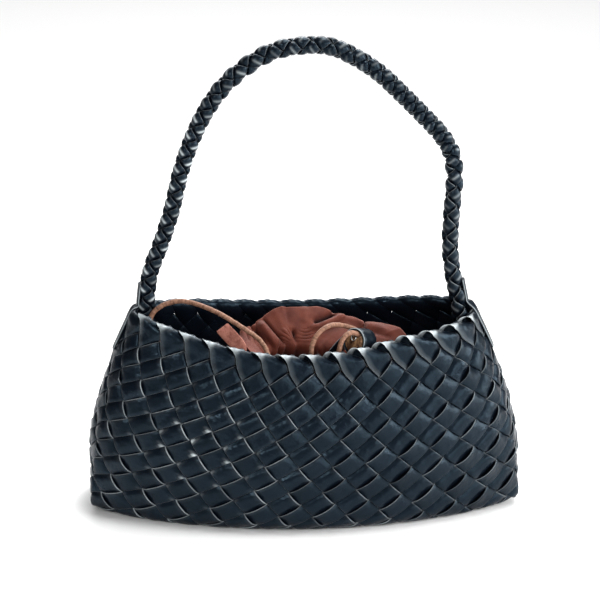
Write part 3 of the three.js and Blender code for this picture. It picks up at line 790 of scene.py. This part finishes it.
def put_base():
    """The base's cells, each a short length of strip over or under the one that crosses it."""
    across, thick = strip_section(STRIP_RING, STRIP_SHARE, STRIP)
    twice_long, twice_deep = np.meshgrid(np.arange(1, 2 * FOLDS_LONG), np.arange(1, 2 * FOLDS_END))
    inside = (twice_long - 1 + twice_deep) % 2 == 0
    p = ((twice_long - 1 + twice_deep) // 2)[inside][:, None, None]
    q = ((twice_long - 1 - twice_deep) // 2)[inside][:, None, None]
    along = np.linspace(0.0, 1.0, CELL_STEPS + 1)[None, :, None]
    even = np.where((p + q) % 2 == 0, 1.0, -1.0)
    places = []
    for a, b, over in ((p + across, q + along, even), (p + 1.0 - along, q + across, -even)):
        a, b = np.broadcast_arrays(a, b)
        point = base_point((a + b) / 2, (a - b) / 2)
        height = -WEAVE - STRIP / 2 + plait_offset(over, along, 0.0) + thick
        places.append(point + DOWN * height[..., None])
    points = np.concatenate(places)
    # Painted highlight on the near edges, as on the wall
    piece = put_strips("plait_base", points, along, PLAIN, EDGE_HIGHLIGHT * EDGE_NEAR, BLACK)
    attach(piece, "root")


def put_rim():
    """Each falling strip rolls over the rim and goes down inside as a rising one.

    Along the strip, delta is half the way to the fold line. The row falls away from the rim by its size, a
    half circle joins outside and inside, and the left edge stands out as an arch over its neighbour.
    """
    across, thick = strip_section(STRIP_RING, STRIP_SHARE, STRIP)
    gone = np.linspace(-1.0, 2.0, RIM_STEPS)[None, :, None]
    number = np.arange(FOLDS)[:, None, None]
    delta = (1.0 - gone - across) / 2
    size = np.abs(delta)
    turn = np.clip(delta / RIM_ROLL, -np.pi / 2, np.pi / 2)
    bend = RIM_ROLL * np.pi / 2
    fade = 1.0 - smooth(size, bend, bend + RIM_FADE)
    spare = np.where(size < bend, size - RIM_ROLL * (1.0 - np.cos(turn)), (bend - RIM_ROLL) * fade)
    near_rim = bell(delta, RIM_NEAR)
    crown = RIM_CROWN * (1.0 - (2.0 * across - 1.0) ** 2) * bell(delta, RIM_CROWN_REACH)
    fold = number + ROWS + (1.0 - gone + across) / 2 + RIM_LAP * near_rim * (across - RIM_LAP_FROM)
    turned = np.mod(fold + TWIST * ROWS, FOLDS)
    from_end = np.mod(turned + FOLDS_END / 2 + FOLDS / 4, FOLDS / 2) - FOLDS / 4
    calm = 1.0 - RIM_END_CALM * bell(from_end, RIM_END_REACH)
    on_back = smooth(turned, FOLDS_LONG, FOLDS_LONG + FOLDS_END)
    on_back = on_back * (1.0 - smooth(turned, FOLDS - FOLDS_END, FOLDS))
    bold = calm * (1.0 - on_back)
    rightward = RIM_LEFT_SHARE + (1.0 - RIM_LEFT_SHARE) * smooth(turned, *RIM_LOOSENS_OVER)
    leftmost = (1.0 - across) ** RIM_POWER
    rightmost = across ** RIM_POWER
    raised = crown + near_rim * bold * rightward * (RIM_UP * leftmost - RIM_UNDER * rightmost)
    row = ROWS - size + spare + raised / ROW_LENGTH
    end = np.minimum(np.clip(2.0 * (gone + 1.0), 0.0, 1.0), np.clip(2.0 * (2.0 - gone), 0.0, 1.0))
    hold = 1.0 - (1.0 - end) ** WAVE_POWER
    half = WEAVE + (RIM_HALF_THICK - WEAVE) * fade * (0.5 + 0.5 * calm)
    lobe = (RIM_OUT * leftmost - RIM_TUCK * rightmost) * bold
    lobe = lobe * bell(delta, LOBE_REACH, LOBE_AT) * smooth(delta, *LOBE_FROM)
    point, normal, proud = bag_skin(fold, row)
    height = proud - DIP * (1.0 - hold) + hold * (half * np.sin(turn) + lobe) + thick
    tone = chance.uniform(*STRIP_TONE, (FOLDS, 1, 1))
    # Painted highlight along each fold's arched free edge, less on the back and at the left, and a little on
    # the far edge
    arch = smooth(delta, *ARCH_FROM) * (1.0 - ARCH_FADE * smooth(delta, *ARCH_TO))
    arch = arch * (1.0 - ARCH_BACK_FADE * on_back) * (ARCH_LEFT_SHARE + (1.0 - ARCH_LEFT_SHARE) * rightward)
    # Painted highlight on the crown of each fold, varied from fold to fold
    crown_highlight = RIM_CROWN_HIGHLIGHT * chance.uniform(*RIM_CROWN_HIGHLIGHT_SPREAD, (FOLDS, 1, 1)) * bell(delta, RIM_CROWN_HIGHLIGHT_REACH, LOBE_AT)
    crown_highlight = crown_highlight * RIM_CROWN_HIGHLIGHT_ACROSS * (1.0 - RIM_CROWN_HIGHLIGHT_BACK_FADE * on_back) * calm
    painted_highlight = arch * EDGE_BROAD + RIM_FAR_HIGHLIGHT * EDGE_FAR + crown_highlight
    piece = put_strips("rim_folds", point + normal * height[..., None], gone, tone, painted_highlight, BLACK)
    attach(piece, "root")


put_wall()
put_base()
put_rim()


# Braided handle

BRAID_ROUTE = [
    (-120.5, 126), (-117.6, 150), (-114, 178), (-105, 202), (-97, 226), (-90, 254), (-81, 279), (-71, 299),
    (-58, 317), (-42, 331), (-22, 342), (0, 346), (19, 345), (37, 337), (55, 325), (71, 310), (87, 294),
    (100, 280), (108, 266), (110.5, 249), (109.5, 229), (108.5, 207), (109, 190), (112, 170), (116.6, 150),
    (119.5, 126),
]
BRAID_MIDDLE = 4.0
BRAID_WEAVE = 1.1
BRAID_DIP = 0.5
BRAID_STRIP = 1.5
BRAID_SHARE = 0.9
BRAID_LIFT = 0.5
BRAID_BULGE = 1.0
# Painted highlights: pale edge lines, more on the far leg, and a pale streak along the middle of each upper
# tile
BRAID_EDGE = 0.1
BRAID_FAR_EDGE = 0.3
BRAID_HIGHLIGHT = 0.85
BRAID_HIGHLIGHT_MEAN = 0.6
BRAID_HIGHLIGHT_SPREAD = 2.4
BRAID_STREAK_WIDTH = 0.16
BRAID_STREAK_FROM = (0.55, 1.0)
BRAID_STATIONS = 900
BRAID_WAVE_POWER = 3
BRAID_FACE = np.array([(place, 1.0) for place in (-0.55, -0.3, -0.14, 0.0, 0.14, 0.3, 0.55)])
BRAID_RING = np.concatenate([STRIP_RING[:4], BRAID_FACE, STRIP_RING[7:]])
BRAID_NEAR = np.concatenate([EDGE_NEAR[:4], np.zeros(len(BRAID_FACE)), EDGE_NEAR[7:]])
BRAID_FAR = np.concatenate([EDGE_FAR[:4], np.zeros(len(BRAID_FACE)), EDGE_FAR[7:]])
BRAID_HIGHLIGHT_TO = (6.0, 10.0)
BRAID_HIGHLIGHT_FADE = 0.65
BRAID_TURNS_OVER = (9.0, 14.0)

# At places along the route: the length of one plaited row, and the plait's turn round it in half turns
BRAID_PLACES = (0, 5, 7, 9, 10.5, 12, 14, 15.5, 17.5, 19, 20.5, 25)
BRAID_ROWS = (14.2, 13.0, 12.7, 13.9, 14.0, 14.1, 12.0, 10.2, 10.5, 13.0, 16.0, 16.0)
BRAID_TURNS = (0.25, 0.25, 0.2, 0.02, 0.1, 0.25, 0.25, 0.25, 0.2, 0.0, -0.25, -0.25)


def put_handle():
    """Four strips plaited round a tube: two climb one way and two the other, two folds to the turn.

    The rows' length and the turn of the plait change along the route, as they do in a braid made by hand.
    """
    knots = np.array([(x, 0.0, z) for x, z in BRAID_ROUTE])
    route = even_route(knots, BRAID_STATIONS)
    stations = np.arange(BRAID_STATIONS)
    tangents = unit(np.gradient(route, axis=0))
    nearest = np.linalg.norm(route[:, None] - knots[None], axis=2).argmin(axis=0)
    place = np.interp(stations, nearest, np.arange(len(knots)))
    pitch = np.interp(place, BRAID_PLACES, BRAID_ROWS)
    turned = np.interp(place, BRAID_PLACES, BRAID_TURNS)
    counted = np.concatenate([[0.0], np.cumsum(np.diff(walk(route)) / pitch[1:])])
    rows = round(counted[-1])
    counted = counted * (rows + 0.5) / counted[-1] - 0.5
    across, thick = strip_section(BRAID_RING, BRAID_SHARE, BRAID_STRIP)
    gone, cell = strip_walk(2 * rows)
    wave = 1.0 - np.abs(2.0 * (gone - cell) - 1.0) ** BRAID_WAVE_POWER
    bulge = BRAID_BULGE * (1.0 - (2.0 * across - 1.0) ** 2)
    on_face = (BRAID_RING[:, 1] > FACE_FROM) * bell(BRAID_RING[:, 0], BRAID_STREAK_WIDTH)
    number = np.arange(2)[:, None, None]
    places, far_edges, far_legs, streaks = [], [], [], []
    for rising in (True, False):
        fold, row, over = strip_course(number, across, gone, cell, rising)
        station = np.interp(row, counted, stations)
        at_place = np.interp(station, stations, place)
        ahead = along_path(station, stations, tangents)
        aside = unit(np.stack([ahead[..., 2], np.zeros_like(station), -ahead[..., 0]], -1))
        angle = np.pi * (fold + np.interp(station, stations, turned))[..., None]
        outward = aside * np.cos(angle) + np.array([0.0, 1.0, 0.0]) * np.sin(angle)
        far_leg = smooth(at_place, *BRAID_TURNS_OVER)
        far_edge = far_leg if rising else 1.0 - far_leg
        lift = BRAID_LIFT * (far_edge * across ** 2 + (1.0 - far_edge) * (1.0 - across) ** 2)
        on_top = np.where(over > 0, wave, 0.0)
        height = BRAID_MIDDLE - BRAID_DIP + over * (BRAID_WEAVE + over * BRAID_DIP) * wave
        height = height + (lift + bulge) * on_top + thick
        # Painted highlight: a streak along each upper tile's middle, fainter from high on the left leg
        # onwards
        calmer = 1.0 - BRAID_HIGHLIGHT_FADE * smooth(at_place, *BRAID_HIGHLIGHT_TO)
        streaks.append(smooth(on_top, *BRAID_STREAK_FROM) * on_face * calmer)
        places.append(along_path(station, stations, route) + outward * height[..., None])
        far_edges.append(far_edge)
        far_legs.append(far_leg)
    tone = draw_by_cell(STRIP_TONE, 4, cell)
    # Painted highlight on the edges and along the streaks
    far = np.concatenate(far_edges)
    worn_and_highlit = BRAID_EDGE + (BRAID_FAR_EDGE - BRAID_EDGE) * np.concatenate(far_legs)
    highlight_strength = BRAID_HIGHLIGHT * (BRAID_HIGHLIGHT_MEAN + BRAID_HIGHLIGHT_SPREAD * tone) * np.concatenate(streaks)
    painted_highlight = worn_and_highlit * ((1.0 - far) * BRAID_NEAR + far * BRAID_FAR) + highlight_strength
    piece = put_strips("handle_plait", np.concatenate(places), gone, tone, painted_highlight, BLACK, BRAID_RING)
    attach(piece, "root")
    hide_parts("handle_braid")


put_handle()

END_STRIP = 1.5
END_STRIP_SEAT = 0.4
END_STRIP_ROWS = (6.4, 6.8, 7.2, 7.5)
END_STRIP_TOPS = (153.5, 159.0, 165.0, 171.0)
END_STRIP_OVER = 0.6
END_STRIP_UP = 1.4
END_STRIP_EDGE_HIGHLIGHT = 0.5
END_STRIP_HALF_FOLD = 0.32
END_STRIP_HALF_TURN = 0.72
END_STRIP_REACH = 6.775
END_STRIP_COLUMNS = 5
END_STRIP_STEPS = 65


def put_end_strip(name, node, side):
    """A strip up the outside of the wall at one end, over the rim's edge and up the side of the braid."""
    shares = np.linspace(-1.0, 1.0, END_STRIP_COLUMNS)
    middle = -FOLDS_END / 2 if side < 0 else FOLDS_LONG + FOLDS_END / 2
    rows = np.array(END_STRIP_ROWS)[:, None] + 0.0 * shares
    fold = middle - TWIST * rows + END_STRIP_HALF_FOLD * shares
    on_wall = wall_point(fold, rows) + wall_normal(fold, rows) * (RELIEF + END_STRIP_SEAT)
    top = np.full((1, END_STRIP_COLUMNS), float(ROWS))
    fold = middle - TWIST * top + END_STRIP_HALF_FOLD * shares
    over_rim = wall_point(fold, top) + wall_normal(fold, top) * END_STRIP_OVER
    over_rim[..., 2] += END_STRIP_UP
    heights = np.array(END_STRIP_TOPS)[:, None] + 0.0 * shares
    route = np.array(BRAID_ROUTE, float)
    leg = route[:4] if side < 0 else route[-4:][::-1]
    centre = np.interp(heights, leg[:, 1], leg[:, 0])
    angle = END_STRIP_HALF_TURN * shares
    outer = centre + side * END_STRIP_REACH * np.cos(angle)
    on_braid = np.stack([outer, side * END_STRIP_REACH * np.sin(angle) + 0 * centre, heights], -1)
    grid = np.concatenate([on_wall, over_rim, on_braid])
    fine = np.stack([smooth_route(line, END_STRIP_STEPS) for line in grid.swapaxes(0, 1)], 1)
    normal = unit(np.cross(np.gradient(fine, axis=1), np.gradient(fine, axis=0)))
    column = (STRIP_RING[:, 0] + 1.0) * (END_STRIP_COLUMNS - 1) / 2
    left = np.minimum(column.astype(int), END_STRIP_COLUMNS - 2)
    part = (column - left)[:, None]
    point = fine[:, left] * (1 - part) + fine[:, left + 1] * part
    away = unit(normal[:, left] * (1 - part) + normal[:, left + 1] * part)
    height = 0.5 * END_STRIP * (1.0 + STRIP_RING[:, 1])
    points = (point + away * height[:, None])[None]
    # Painted highlight on both edges of the strip
    painted_highlight = END_STRIP_EDGE_HIGHLIGHT * (EDGE_NEAR + EDGE_FAR)
    gone = np.linspace(0, 4, END_STRIP_STEPS)[None, :, None]
    piece = put_strips(name, points, gone, PLAIN, painted_highlight, BLACK)
    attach(piece, "root")
    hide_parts(node)


put_end_strip("end_strip_left", "handle_strip_left", -1)
put_end_strip("end_strip_right", "handle_strip_right", 1)


# Cloth pouch

# Sections from the base up: middle in x and y, half width, half depth, height, rise to the back, hump behind
POUCH_SECTIONS = np.array([
    (16, 0, 34, 22, 2.8, 0, 0), (16, 0, 70, 42, 3, 0, 0), (16, 0, 80, 50, 14, 0, 0),
    (16, 0, 88, 55, 44, 0, 0), (15, 0, 84, 51, 70, 0, 0), (12, -3, 68, 39, 92, 0, 0),
    (6, -9, 47, 22, 105, 0, 0), (3, -12, 34, 13, 112, 3, 4), (8, -10, 42, 17, 117, 4.2, 7),
    (14, -8, 54, 24, 120.5, 4.4, 12), (18, -7, 66, 30, 122.5, 4.4, 16.5),
], float)
POUCH_NECK = 7.0
POUCH_TOP = 10.0
POUCH_HUMP_TURN = np.radians(115.0)
POUCH_BACK_STEPS = 300
POUCH_FRONT_STEPS = 60
POUCH_LOW_STEPS = 45
POUCH_COLLAR_STEPS = 75
CLOTH_THICKNESS = 1.1
CLOTH_ROUND = 0.075
GATHERS = 11
GATHER_AT = 6.6
GATHER_REACH = 1.1
GATHER_DEPTH = 1.4
FINE_GATHERS = 29
FINE_DEPTH = 0.5
RUFFLE_DEPTH = 1.2
SLUMP_DEPTH = 1.4
# Painted highlight along the collar's top edge
HEM_HIGHLIGHT = 0.5
HEM_FROM = (POUCH_TOP - 0.1, POUCH_TOP - 0.03)
# Painted shade in the hollows of the collar's folds
FOLD_SHADE = 0.24
FOLD_SHADE_FROM = 0.12
FOLD_SHADE_MOST = 0.85

# Height of the collar's edge, by degrees round it from the right end over the back
COLLAR_EDGE = np.array([
    (0, 118.5), (20.8, 121.9), (25.4, 125.2), (32.1, 129.2), (41.2, 130.3), (49.3, 131.1), (55.8, 130.8),
    (62.5, 129.6), (64.7, 130.7), (70.8, 133.1), (77.9, 134.6), (83.7, 137.9), (87.3, 139.8), (91.3, 141.5),
    (96.8, 143.4), (102.7, 143.2), (107.5, 143.8), (114.7, 144.4), (121.8, 145.4), (128.8, 142.6),
    (135.1, 139.4), (142.2, 135.7), (149.6, 132.1), (164.9, 132.9), (180, 129), (200, 124), (215, 121),
    (230, 119.5), (245, 119), (290, 119), (305, 118.5), (320, 118), (350, 117.5), (360, 118.5),
])

# Creases in the collar's back: from and to in width and seen height, half width, and height of the ridge
SEEN_TILT = 0.306
COLLAR_CREASES = (
    (-32.0, 137.5, -19.4, 120.0, 3.0, 3.5), (-29.8, 140.6, -19.0, 127.0, 1.4, -5.0),
    (-19.5, 128.0, -14.5, 121.0, 1.3, -4.0), (-37.5, 134.0, -29.0, 121.0, 1.8, -3.6),
    (-8.2, 132.5, -5.0, 118.6, 1.8, -4.5), (-15.5, 133.0, -9.5, 120.0, 2.4, 1.5),
    (6.4, 133.4, 31.0, 142.2, 1.7, 3.2), (8.5, 138.0, 25.0, 144.4, 2.6, -6.5),
    (10.0, 129.0, 31.0, 136.0, 2.6, -1.6), (33.0, 140.5, 62.0, 131.0, 2.6, 1.6),
    (40.0, 134.5, 66.0, 126.0, 2.6, -1.8), (46.2, 138.5, 47.2, 132.0, 0.9, -1.6),
    (-13.0, 150.0, -10.5, 137.0, 2.6, -0.9), (2.0, 149.5, 0.5, 138.0, 2.6, 0.8),
    (-21.0, 148.0, -15.0, 134.0, 2.6, 0.7),
)
GATHER_POINT = (-6.0, 120.0)
ARC_CENTRE = (1.5, 139.0)


def crease(x, h, line):
    """A ridge or groove along a line: a bell across it, fading out at both ends."""
    x1, h1, x2, h2, width, height = line
    long = np.hypot(x2 - x1, h2 - h1)
    share = ((x - x1) * (x2 - x1) + (h - h1) * (h2 - h1)) / long ** 2
    aside = ((h - h1) * (x2 - x1) - (x - x1) * (h2 - h1)) / long
    ends = smooth(share, -0.15, 0.15) * (1.0 - smooth(share, 0.85, 1.15))
    return height * ends * bell(aside, width)


def round_point(x, h, centre):
    """Distance and direction from a centre."""
    return np.hypot(x - centre[0], h - centre[1]), np.arctan2(h - centre[1], x - centre[0])


def collar_folds(x, h):
    """Folds of the collar's back: creases, gathers that meet at a point, arcs round another, and ruffles."""
    total = sum(crease(x, h, line) for line in COLLAR_CREASES)
    far, turn = round_point(x, h, GATHER_POINT)
    fan = bell(turn, 0.5, 2.35) * smooth(far, 3.0, 6.0) * (1.0 - smooth(far, 12.0, 18.0))
    total = total + 0.6 * fan * np.cos(34.0 * turn)
    far, turn = round_point(x, h, ARC_CENTRE)
    bowl = bell(turn, 0.55, -1.45) * smooth(far, 5.0, 8.0) * (1.0 - smooth(far, 16.0, 20.0))
    total = total + 0.5 * bowl * np.cos(2 * np.pi * far / 2.6)
    low_left = smooth(-x, 33.0, 38.0)
    return total + 1.1 * low_left * np.sin(2 * np.pi * x / 4.6 + 0.25 * h)


def pouch_sections(place):
    """The table of sections between its rows: cubics, with each row's slope from its neighbours."""
    last = len(POUCH_SECTIONS) - 1
    low = np.clip(place.astype(int), 0, last - 1)
    t = (place - low)[:, None]
    p1, p2 = POUCH_SECTIONS[low], POUCH_SECTIONS[low + 1]
    m1 = (p2 - POUCH_SECTIONS[np.maximum(low - 1, 0)]) / 2
    m2 = (POUCH_SECTIONS[np.minimum(low + 2, last)] - p1) / 2
    table = cubic(p1, m1, p2, m2, t)
    return (column[:, None] for column in table.T)


def put_pouch():
    """Ovals carried up the sections, gathered at the neck; above it the collar, creased along its normals."""
    place = np.concatenate([
        np.linspace(0.0, POUCH_NECK, POUCH_LOW_STEPS, endpoint=False),
        np.linspace(POUCH_NECK, POUCH_TOP, POUCH_COLLAR_STEPS),
    ])
    cx, cy, wide, deep, high, rise, hump = pouch_sections(place)
    angle = np.concatenate([
        np.linspace(0.0, np.pi, POUCH_BACK_STEPS, endpoint=False),
        np.linspace(np.pi, 2 * np.pi, POUCH_FRONT_STEPS, endpoint=False),
    ])[None, :]
    v = place[:, None]
    at_neck = bell(v, GATHER_REACH, GATHER_AT)
    in_collar = smooth(v, POUCH_NECK, POUCH_TOP)
    behind = smooth(np.sin(angle), -0.15, 0.25)
    gathers = np.abs(np.sin(GATHERS * angle + 0.25 * np.sin(3 * angle + 0.7 * v) + 0.2 * v)) * 2.0 - 1.2
    fine = np.cos(FINE_GATHERS * angle + 2.0 * np.sin(5 * angle) - 0.5 * v)
    ruffle = np.sin(5 * angle + 0.9) + 0.5 * np.sin(8 * angle - 0.4 * v)
    slump = np.sin(4 * angle + 0.06 * high) * np.sin(0.09 * high + 2 * angle) * smooth(v, 2.0, 3.5)
    out = at_neck * (GATHER_DEPTH * gathers + FINE_DEPTH * fine)
    out = out + in_collar * RUFFLE_DEPTH * ruffle + (1 - in_collar) * SLUMP_DEPTH * slump
    x = cx + (wide + out) * np.cos(angle)
    y = cy + (deep + out) * np.sin(angle)
    z = high + rise * np.sin(angle) + hump * np.maximum(0.0, np.cos(angle - POUCH_HUMP_TURN)) ** 2
    edge = np.interp(np.degrees(angle), COLLAR_EDGE[:, 0], COLLAR_EDGE[:, 1])
    z = z + in_collar * (edge - z[-1:])
    points = np.stack([x, y, z], -1)
    around = np.roll(points, -1, axis=1) - np.roll(points, 1, axis=1)
    towards = unit(np.cross(np.gradient(points, axis=0), around))
    folded = collar_folds(x, z + SEEN_TILT * y) * smooth(v, POUCH_NECK, POUCH_NECK + 0.7) * behind
    points = points + towards * folded[..., None]
    index = np.arange(points.shape[0] * points.shape[1]).reshape(points.shape[:2])
    quads = tube_faces(index[None])[0]
    middle = np.full(points.shape[1], index.size)
    fan = np.stack([middle, np.roll(index[0], -1), index[0]], -1)
    upward = walk(points[:, 0])[:, None] * MM
    uv = np.stack(np.broadcast_arrays(angle * CLOTH_ROUND, upward), -1).reshape(-1, 2)
    uv = np.concatenate([uv, [[0.0, 0.0]]])
    # Painted highlight along the collar's top edge
    hem = np.broadcast_to(HEM_HIGHLIGHT * smooth(v, *HEM_FROM), index.shape).ravel()
    hem = np.concatenate([hem, [0.0]])
    # Painted shade where the collar's folds sink in
    shade = np.clip(-FOLD_SHADE * folded - FOLD_SHADE_FROM, 0.0, FOLD_SHADE_MOST)
    shade = np.concatenate([shade.ravel(), [0.0]])
    lowest = POUCH_SECTIONS[0]
    all_points = np.concatenate([points.reshape(-1, 3), [[lowest[0], 0.0, lowest[4]]]])
    values = {"edge": hem, "tone": shade}
    piece = put_mesh("pouch_cloth", all_points, [quads, fan], CLOTH, uv=uv, values=values)
    wall = piece.modifiers.new("cloth_thickness", "SOLIDIFY")
    wall.thickness = CLOTH_THICKNESS * MM
    wall.offset = -1.0
    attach(piece, "root")
    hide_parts("pouch")


put_pouch()


# Toggle and tag

TOGGLE_CENTRE = np.array([39.5, -29.4, 132.0])
TOGGLE_AXIS = unit(np.array([-0.68, -0.68, 0.28]))
TOGGLE_UP = unit(np.array([0.0, 0.0, 1.0]) - TOGGLE_AXIS * TOGGLE_AXIS[2])
TOGGLE_ACROSS = np.cross(TOGGLE_UP, TOGGLE_AXIS)
TOGGLE_HALF_LENGTH = 7.5
TOGGLE_RADIUS = 10.2
TOGGLE_WRAP = 1.8
TOGGLE_SEAT = 0.3
TOGGLE_EDGE_HIGHLIGHT = 0.5
TOGGLE_SIDES = 96
WRAP_STEPS = 110
SKIVED_TURN = 1.4
SKIVED_EDGE = 0.06
NOTCH_TURN = np.radians(68.0)
NOTCH_REACH = 6.3
NOTCH_RADIUS = 2.2
TAIL_TURN = np.radians(137.0)
TAIL_LENGTH = 25.0
TAIL_CURL = np.radians(12.0)
TAIL_STEPS = 30

# Sections of the roll and of the eyelet: share of the radius or radius, and place along the axis
ROLL_SECTION = np.array([
    (0.03, -1.0), (0.5, -1.0), (0.93, -0.98), (1.0, -0.9), (1.0, 0.9), (0.97, 0.96), (0.9, 1.0), (0.8, 1.02),
    (0.7, 1.03), (0.6, 1.03), (0.5, 1.03), (0.4, 1.03), (0.3, 1.03), (0.2, 1.03), (0.1, 1.03), (0.03, 1.03),
])
ROLL_RIDGE = 0.3
EYELET_SECTION = np.array([
    (0.05, -1.2), (2.6, -1.2), (2.6, 0.15), (2.4, 0.5), (2.0, 0.65), (1.6, 0.5), (1.42, 0.1), (1.35, -0.9),
    (0.05, -1.0),
])
EYELET_PLACE = (-0.4, 2.5)


def toggle_place(across, up, along):
    """A place in the toggle's own directions: across it, up it, and along its axis."""
    spread = across[..., None] * TOGGLE_ACROSS + up[..., None] * TOGGLE_UP + along[..., None] * TOGGLE_AXIS
    return TOGGLE_CENTRE + spread


def put_turned(name, across, up, along, material):
    """A closed piece from rings in the toggle's directions, ring after ring from its back to its front."""
    points = toggle_place(across, up, along)
    index = np.arange(points.shape[0] * points.shape[1]).reshape(1, *points.shape[:2])
    quads, caps = tube_faces(index)
    piece = put_mesh(name, points.reshape(-1, 3), [quads], material, caps)
    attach(piece, "root")
    return piece


def put_toggle():
    """A tan roll with a notch for the cord, a black strip wound round it with a loose end, and an eyelet."""
    angle = np.linspace(0.0, 2 * np.pi, TOGGLE_SIDES, endpoint=False)
    inner = TOGGLE_RADIUS - TOGGLE_WRAP
    off = np.mod(angle - NOTCH_TURN + np.pi, 2 * np.pi) - np.pi
    gap = np.maximum(0.0, NOTCH_RADIUS ** 2 - (NOTCH_REACH * np.sin(off)) ** 2)
    in_notch = (gap > 0) & (np.abs(off) < np.pi / 2)
    reach = np.where(in_notch, NOTCH_REACH * np.cos(off) - np.sqrt(gap), inner - TOGGLE_SEAT)
    radius = ROLL_SECTION[:, :1] * reach
    wound = ROLL_RIDGE * np.cos(np.pi * radius - angle) * (ROLL_SECTION[:, 1:] > 1.0)
    along = TOGGLE_HALF_LENGTH * ROLL_SECTION[:, 1:] + wound
    roll = put_turned("toggle_roll", radius * np.cos(angle), radius * np.sin(angle), along, ROLL_TAN)
    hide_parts("toggle_core")

    turn = np.linspace(TAIL_TURN - 2 * np.pi, TAIL_TURN, WRAP_STEPS)
    past = np.clip(turn - turn[0], 0.0, SKIVED_TURN)
    tail = np.linspace(0.0, 1.0, TAIL_STEPS + 1)[1:]
    heading = np.concatenate([turn, TAIL_TURN + TAIL_CURL * tail]) + np.pi / 2
    step = TAIL_LENGTH / TAIL_STEPS
    on = heading[WRAP_STEPS:]
    x = np.concatenate([inner * np.cos(turn), inner * np.cos(TAIL_TURN) + np.cumsum(step * np.cos(on))])
    y = np.concatenate([inner * np.sin(turn), inner * np.sin(TAIL_TURN) + np.cumsum(step * np.sin(on))])
    skived = np.clip(inner * (1.0 / np.cos(past) - 1.0) / TOGGLE_WRAP, SKIVED_EDGE, 1.0)
    thick = TOGGLE_WRAP * np.concatenate([skived, np.ones(TAIL_STEPS)])[:, None]
    thick = thick * (1.0 + STRIP_RING[:, 1]) / 2
    across = x[:, None] + np.sin(heading)[:, None] * thick
    up = y[:, None] - np.cos(heading)[:, None] * thick
    along = 0.0 * up - TOGGLE_HALF_LENGTH * STRIP_RING[:, 0]
    points = toggle_place(across, up, along)[None]
    gone = np.linspace(0.0, 6.0, len(x))[None, :, None]
    # Painted highlight on the strip's near edge
    wrap = put_strips("toggle_strip", points, gone, PLAIN, TOGGLE_EDGE_HIGHLIGHT * EDGE_NEAR, BLACK)
    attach(wrap, "root")
    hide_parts("toggle_wrap")

    radius = EYELET_SECTION[:, :1]
    across = EYELET_PLACE[0] + radius * np.cos(angle)
    up = EYELET_PLACE[1] + radius * np.sin(angle)
    along = TOGGLE_HALF_LENGTH * ROLL_SECTION[-1, 1] + EYELET_SECTION[:, 1:] + 0.0 * angle
    eyelet = put_turned("toggle_eyelet", across, up, along, METAL)


put_toggle()

LABEL_TOP = np.array([-61.5, -20.9, 142.5])
LABEL_BEND = np.array([-49.2, -21.6, 127.0])
LABEL_UNDER_BEND = np.array([-49.2, -21.6, 123.0])
LABEL_BOTTOM = np.array([-47.6, -21.9, 117.0])
LABEL_STEPS = 41
LABEL_CORNER_LENGTH = 0.06
LABEL_CORNER_WIDTH = 0.12
LABEL_HALF_WIDTH = 5.5
LABEL_THICKNESS = 1.6


def put_tag():
    """A bare tag: a rounded section carried up from its sewn end, then leaning over to the left."""
    centre = even_route([LABEL_BOTTOM, LABEL_UNDER_BEND, LABEL_BEND, LABEL_TOP], LABEL_STEPS)
    share = np.linspace(0.0, 1.0, LABEL_STEPS)[:, None]
    axis = unit(np.gradient(centre, axis=0))
    across = unit(np.cross(axis, np.array([0.0, -1.0, 0.0])))
    normal = np.cross(across, axis)
    past = np.clip(share - (1.0 - LABEL_CORNER_LENGTH), 0.0, 1.0) / LABEL_CORNER_LENGTH
    corner = 1.0 - LABEL_CORNER_WIDTH * (1.0 - np.sqrt(np.clip(1.0 - past ** 2, 0.0, 1.0)))
    across, normal = across[:, None], normal[:, None]
    x = LABEL_HALF_WIDTH * STRIP_RING[:, 0] * corner
    z = 0.5 * LABEL_THICKNESS * STRIP_RING[:, 1] + 0.0 * share
    points = centre[:, None] + across * x[..., None] + normal * (z + LABEL_THICKNESS / 2)[..., None]
    piece = put_strips("tag_leather", points[None], share[None] * 0.03, PLAIN, PLAIN, TAG_TAN)
    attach(piece, "root")
    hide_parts("label_tag")


put_tag()
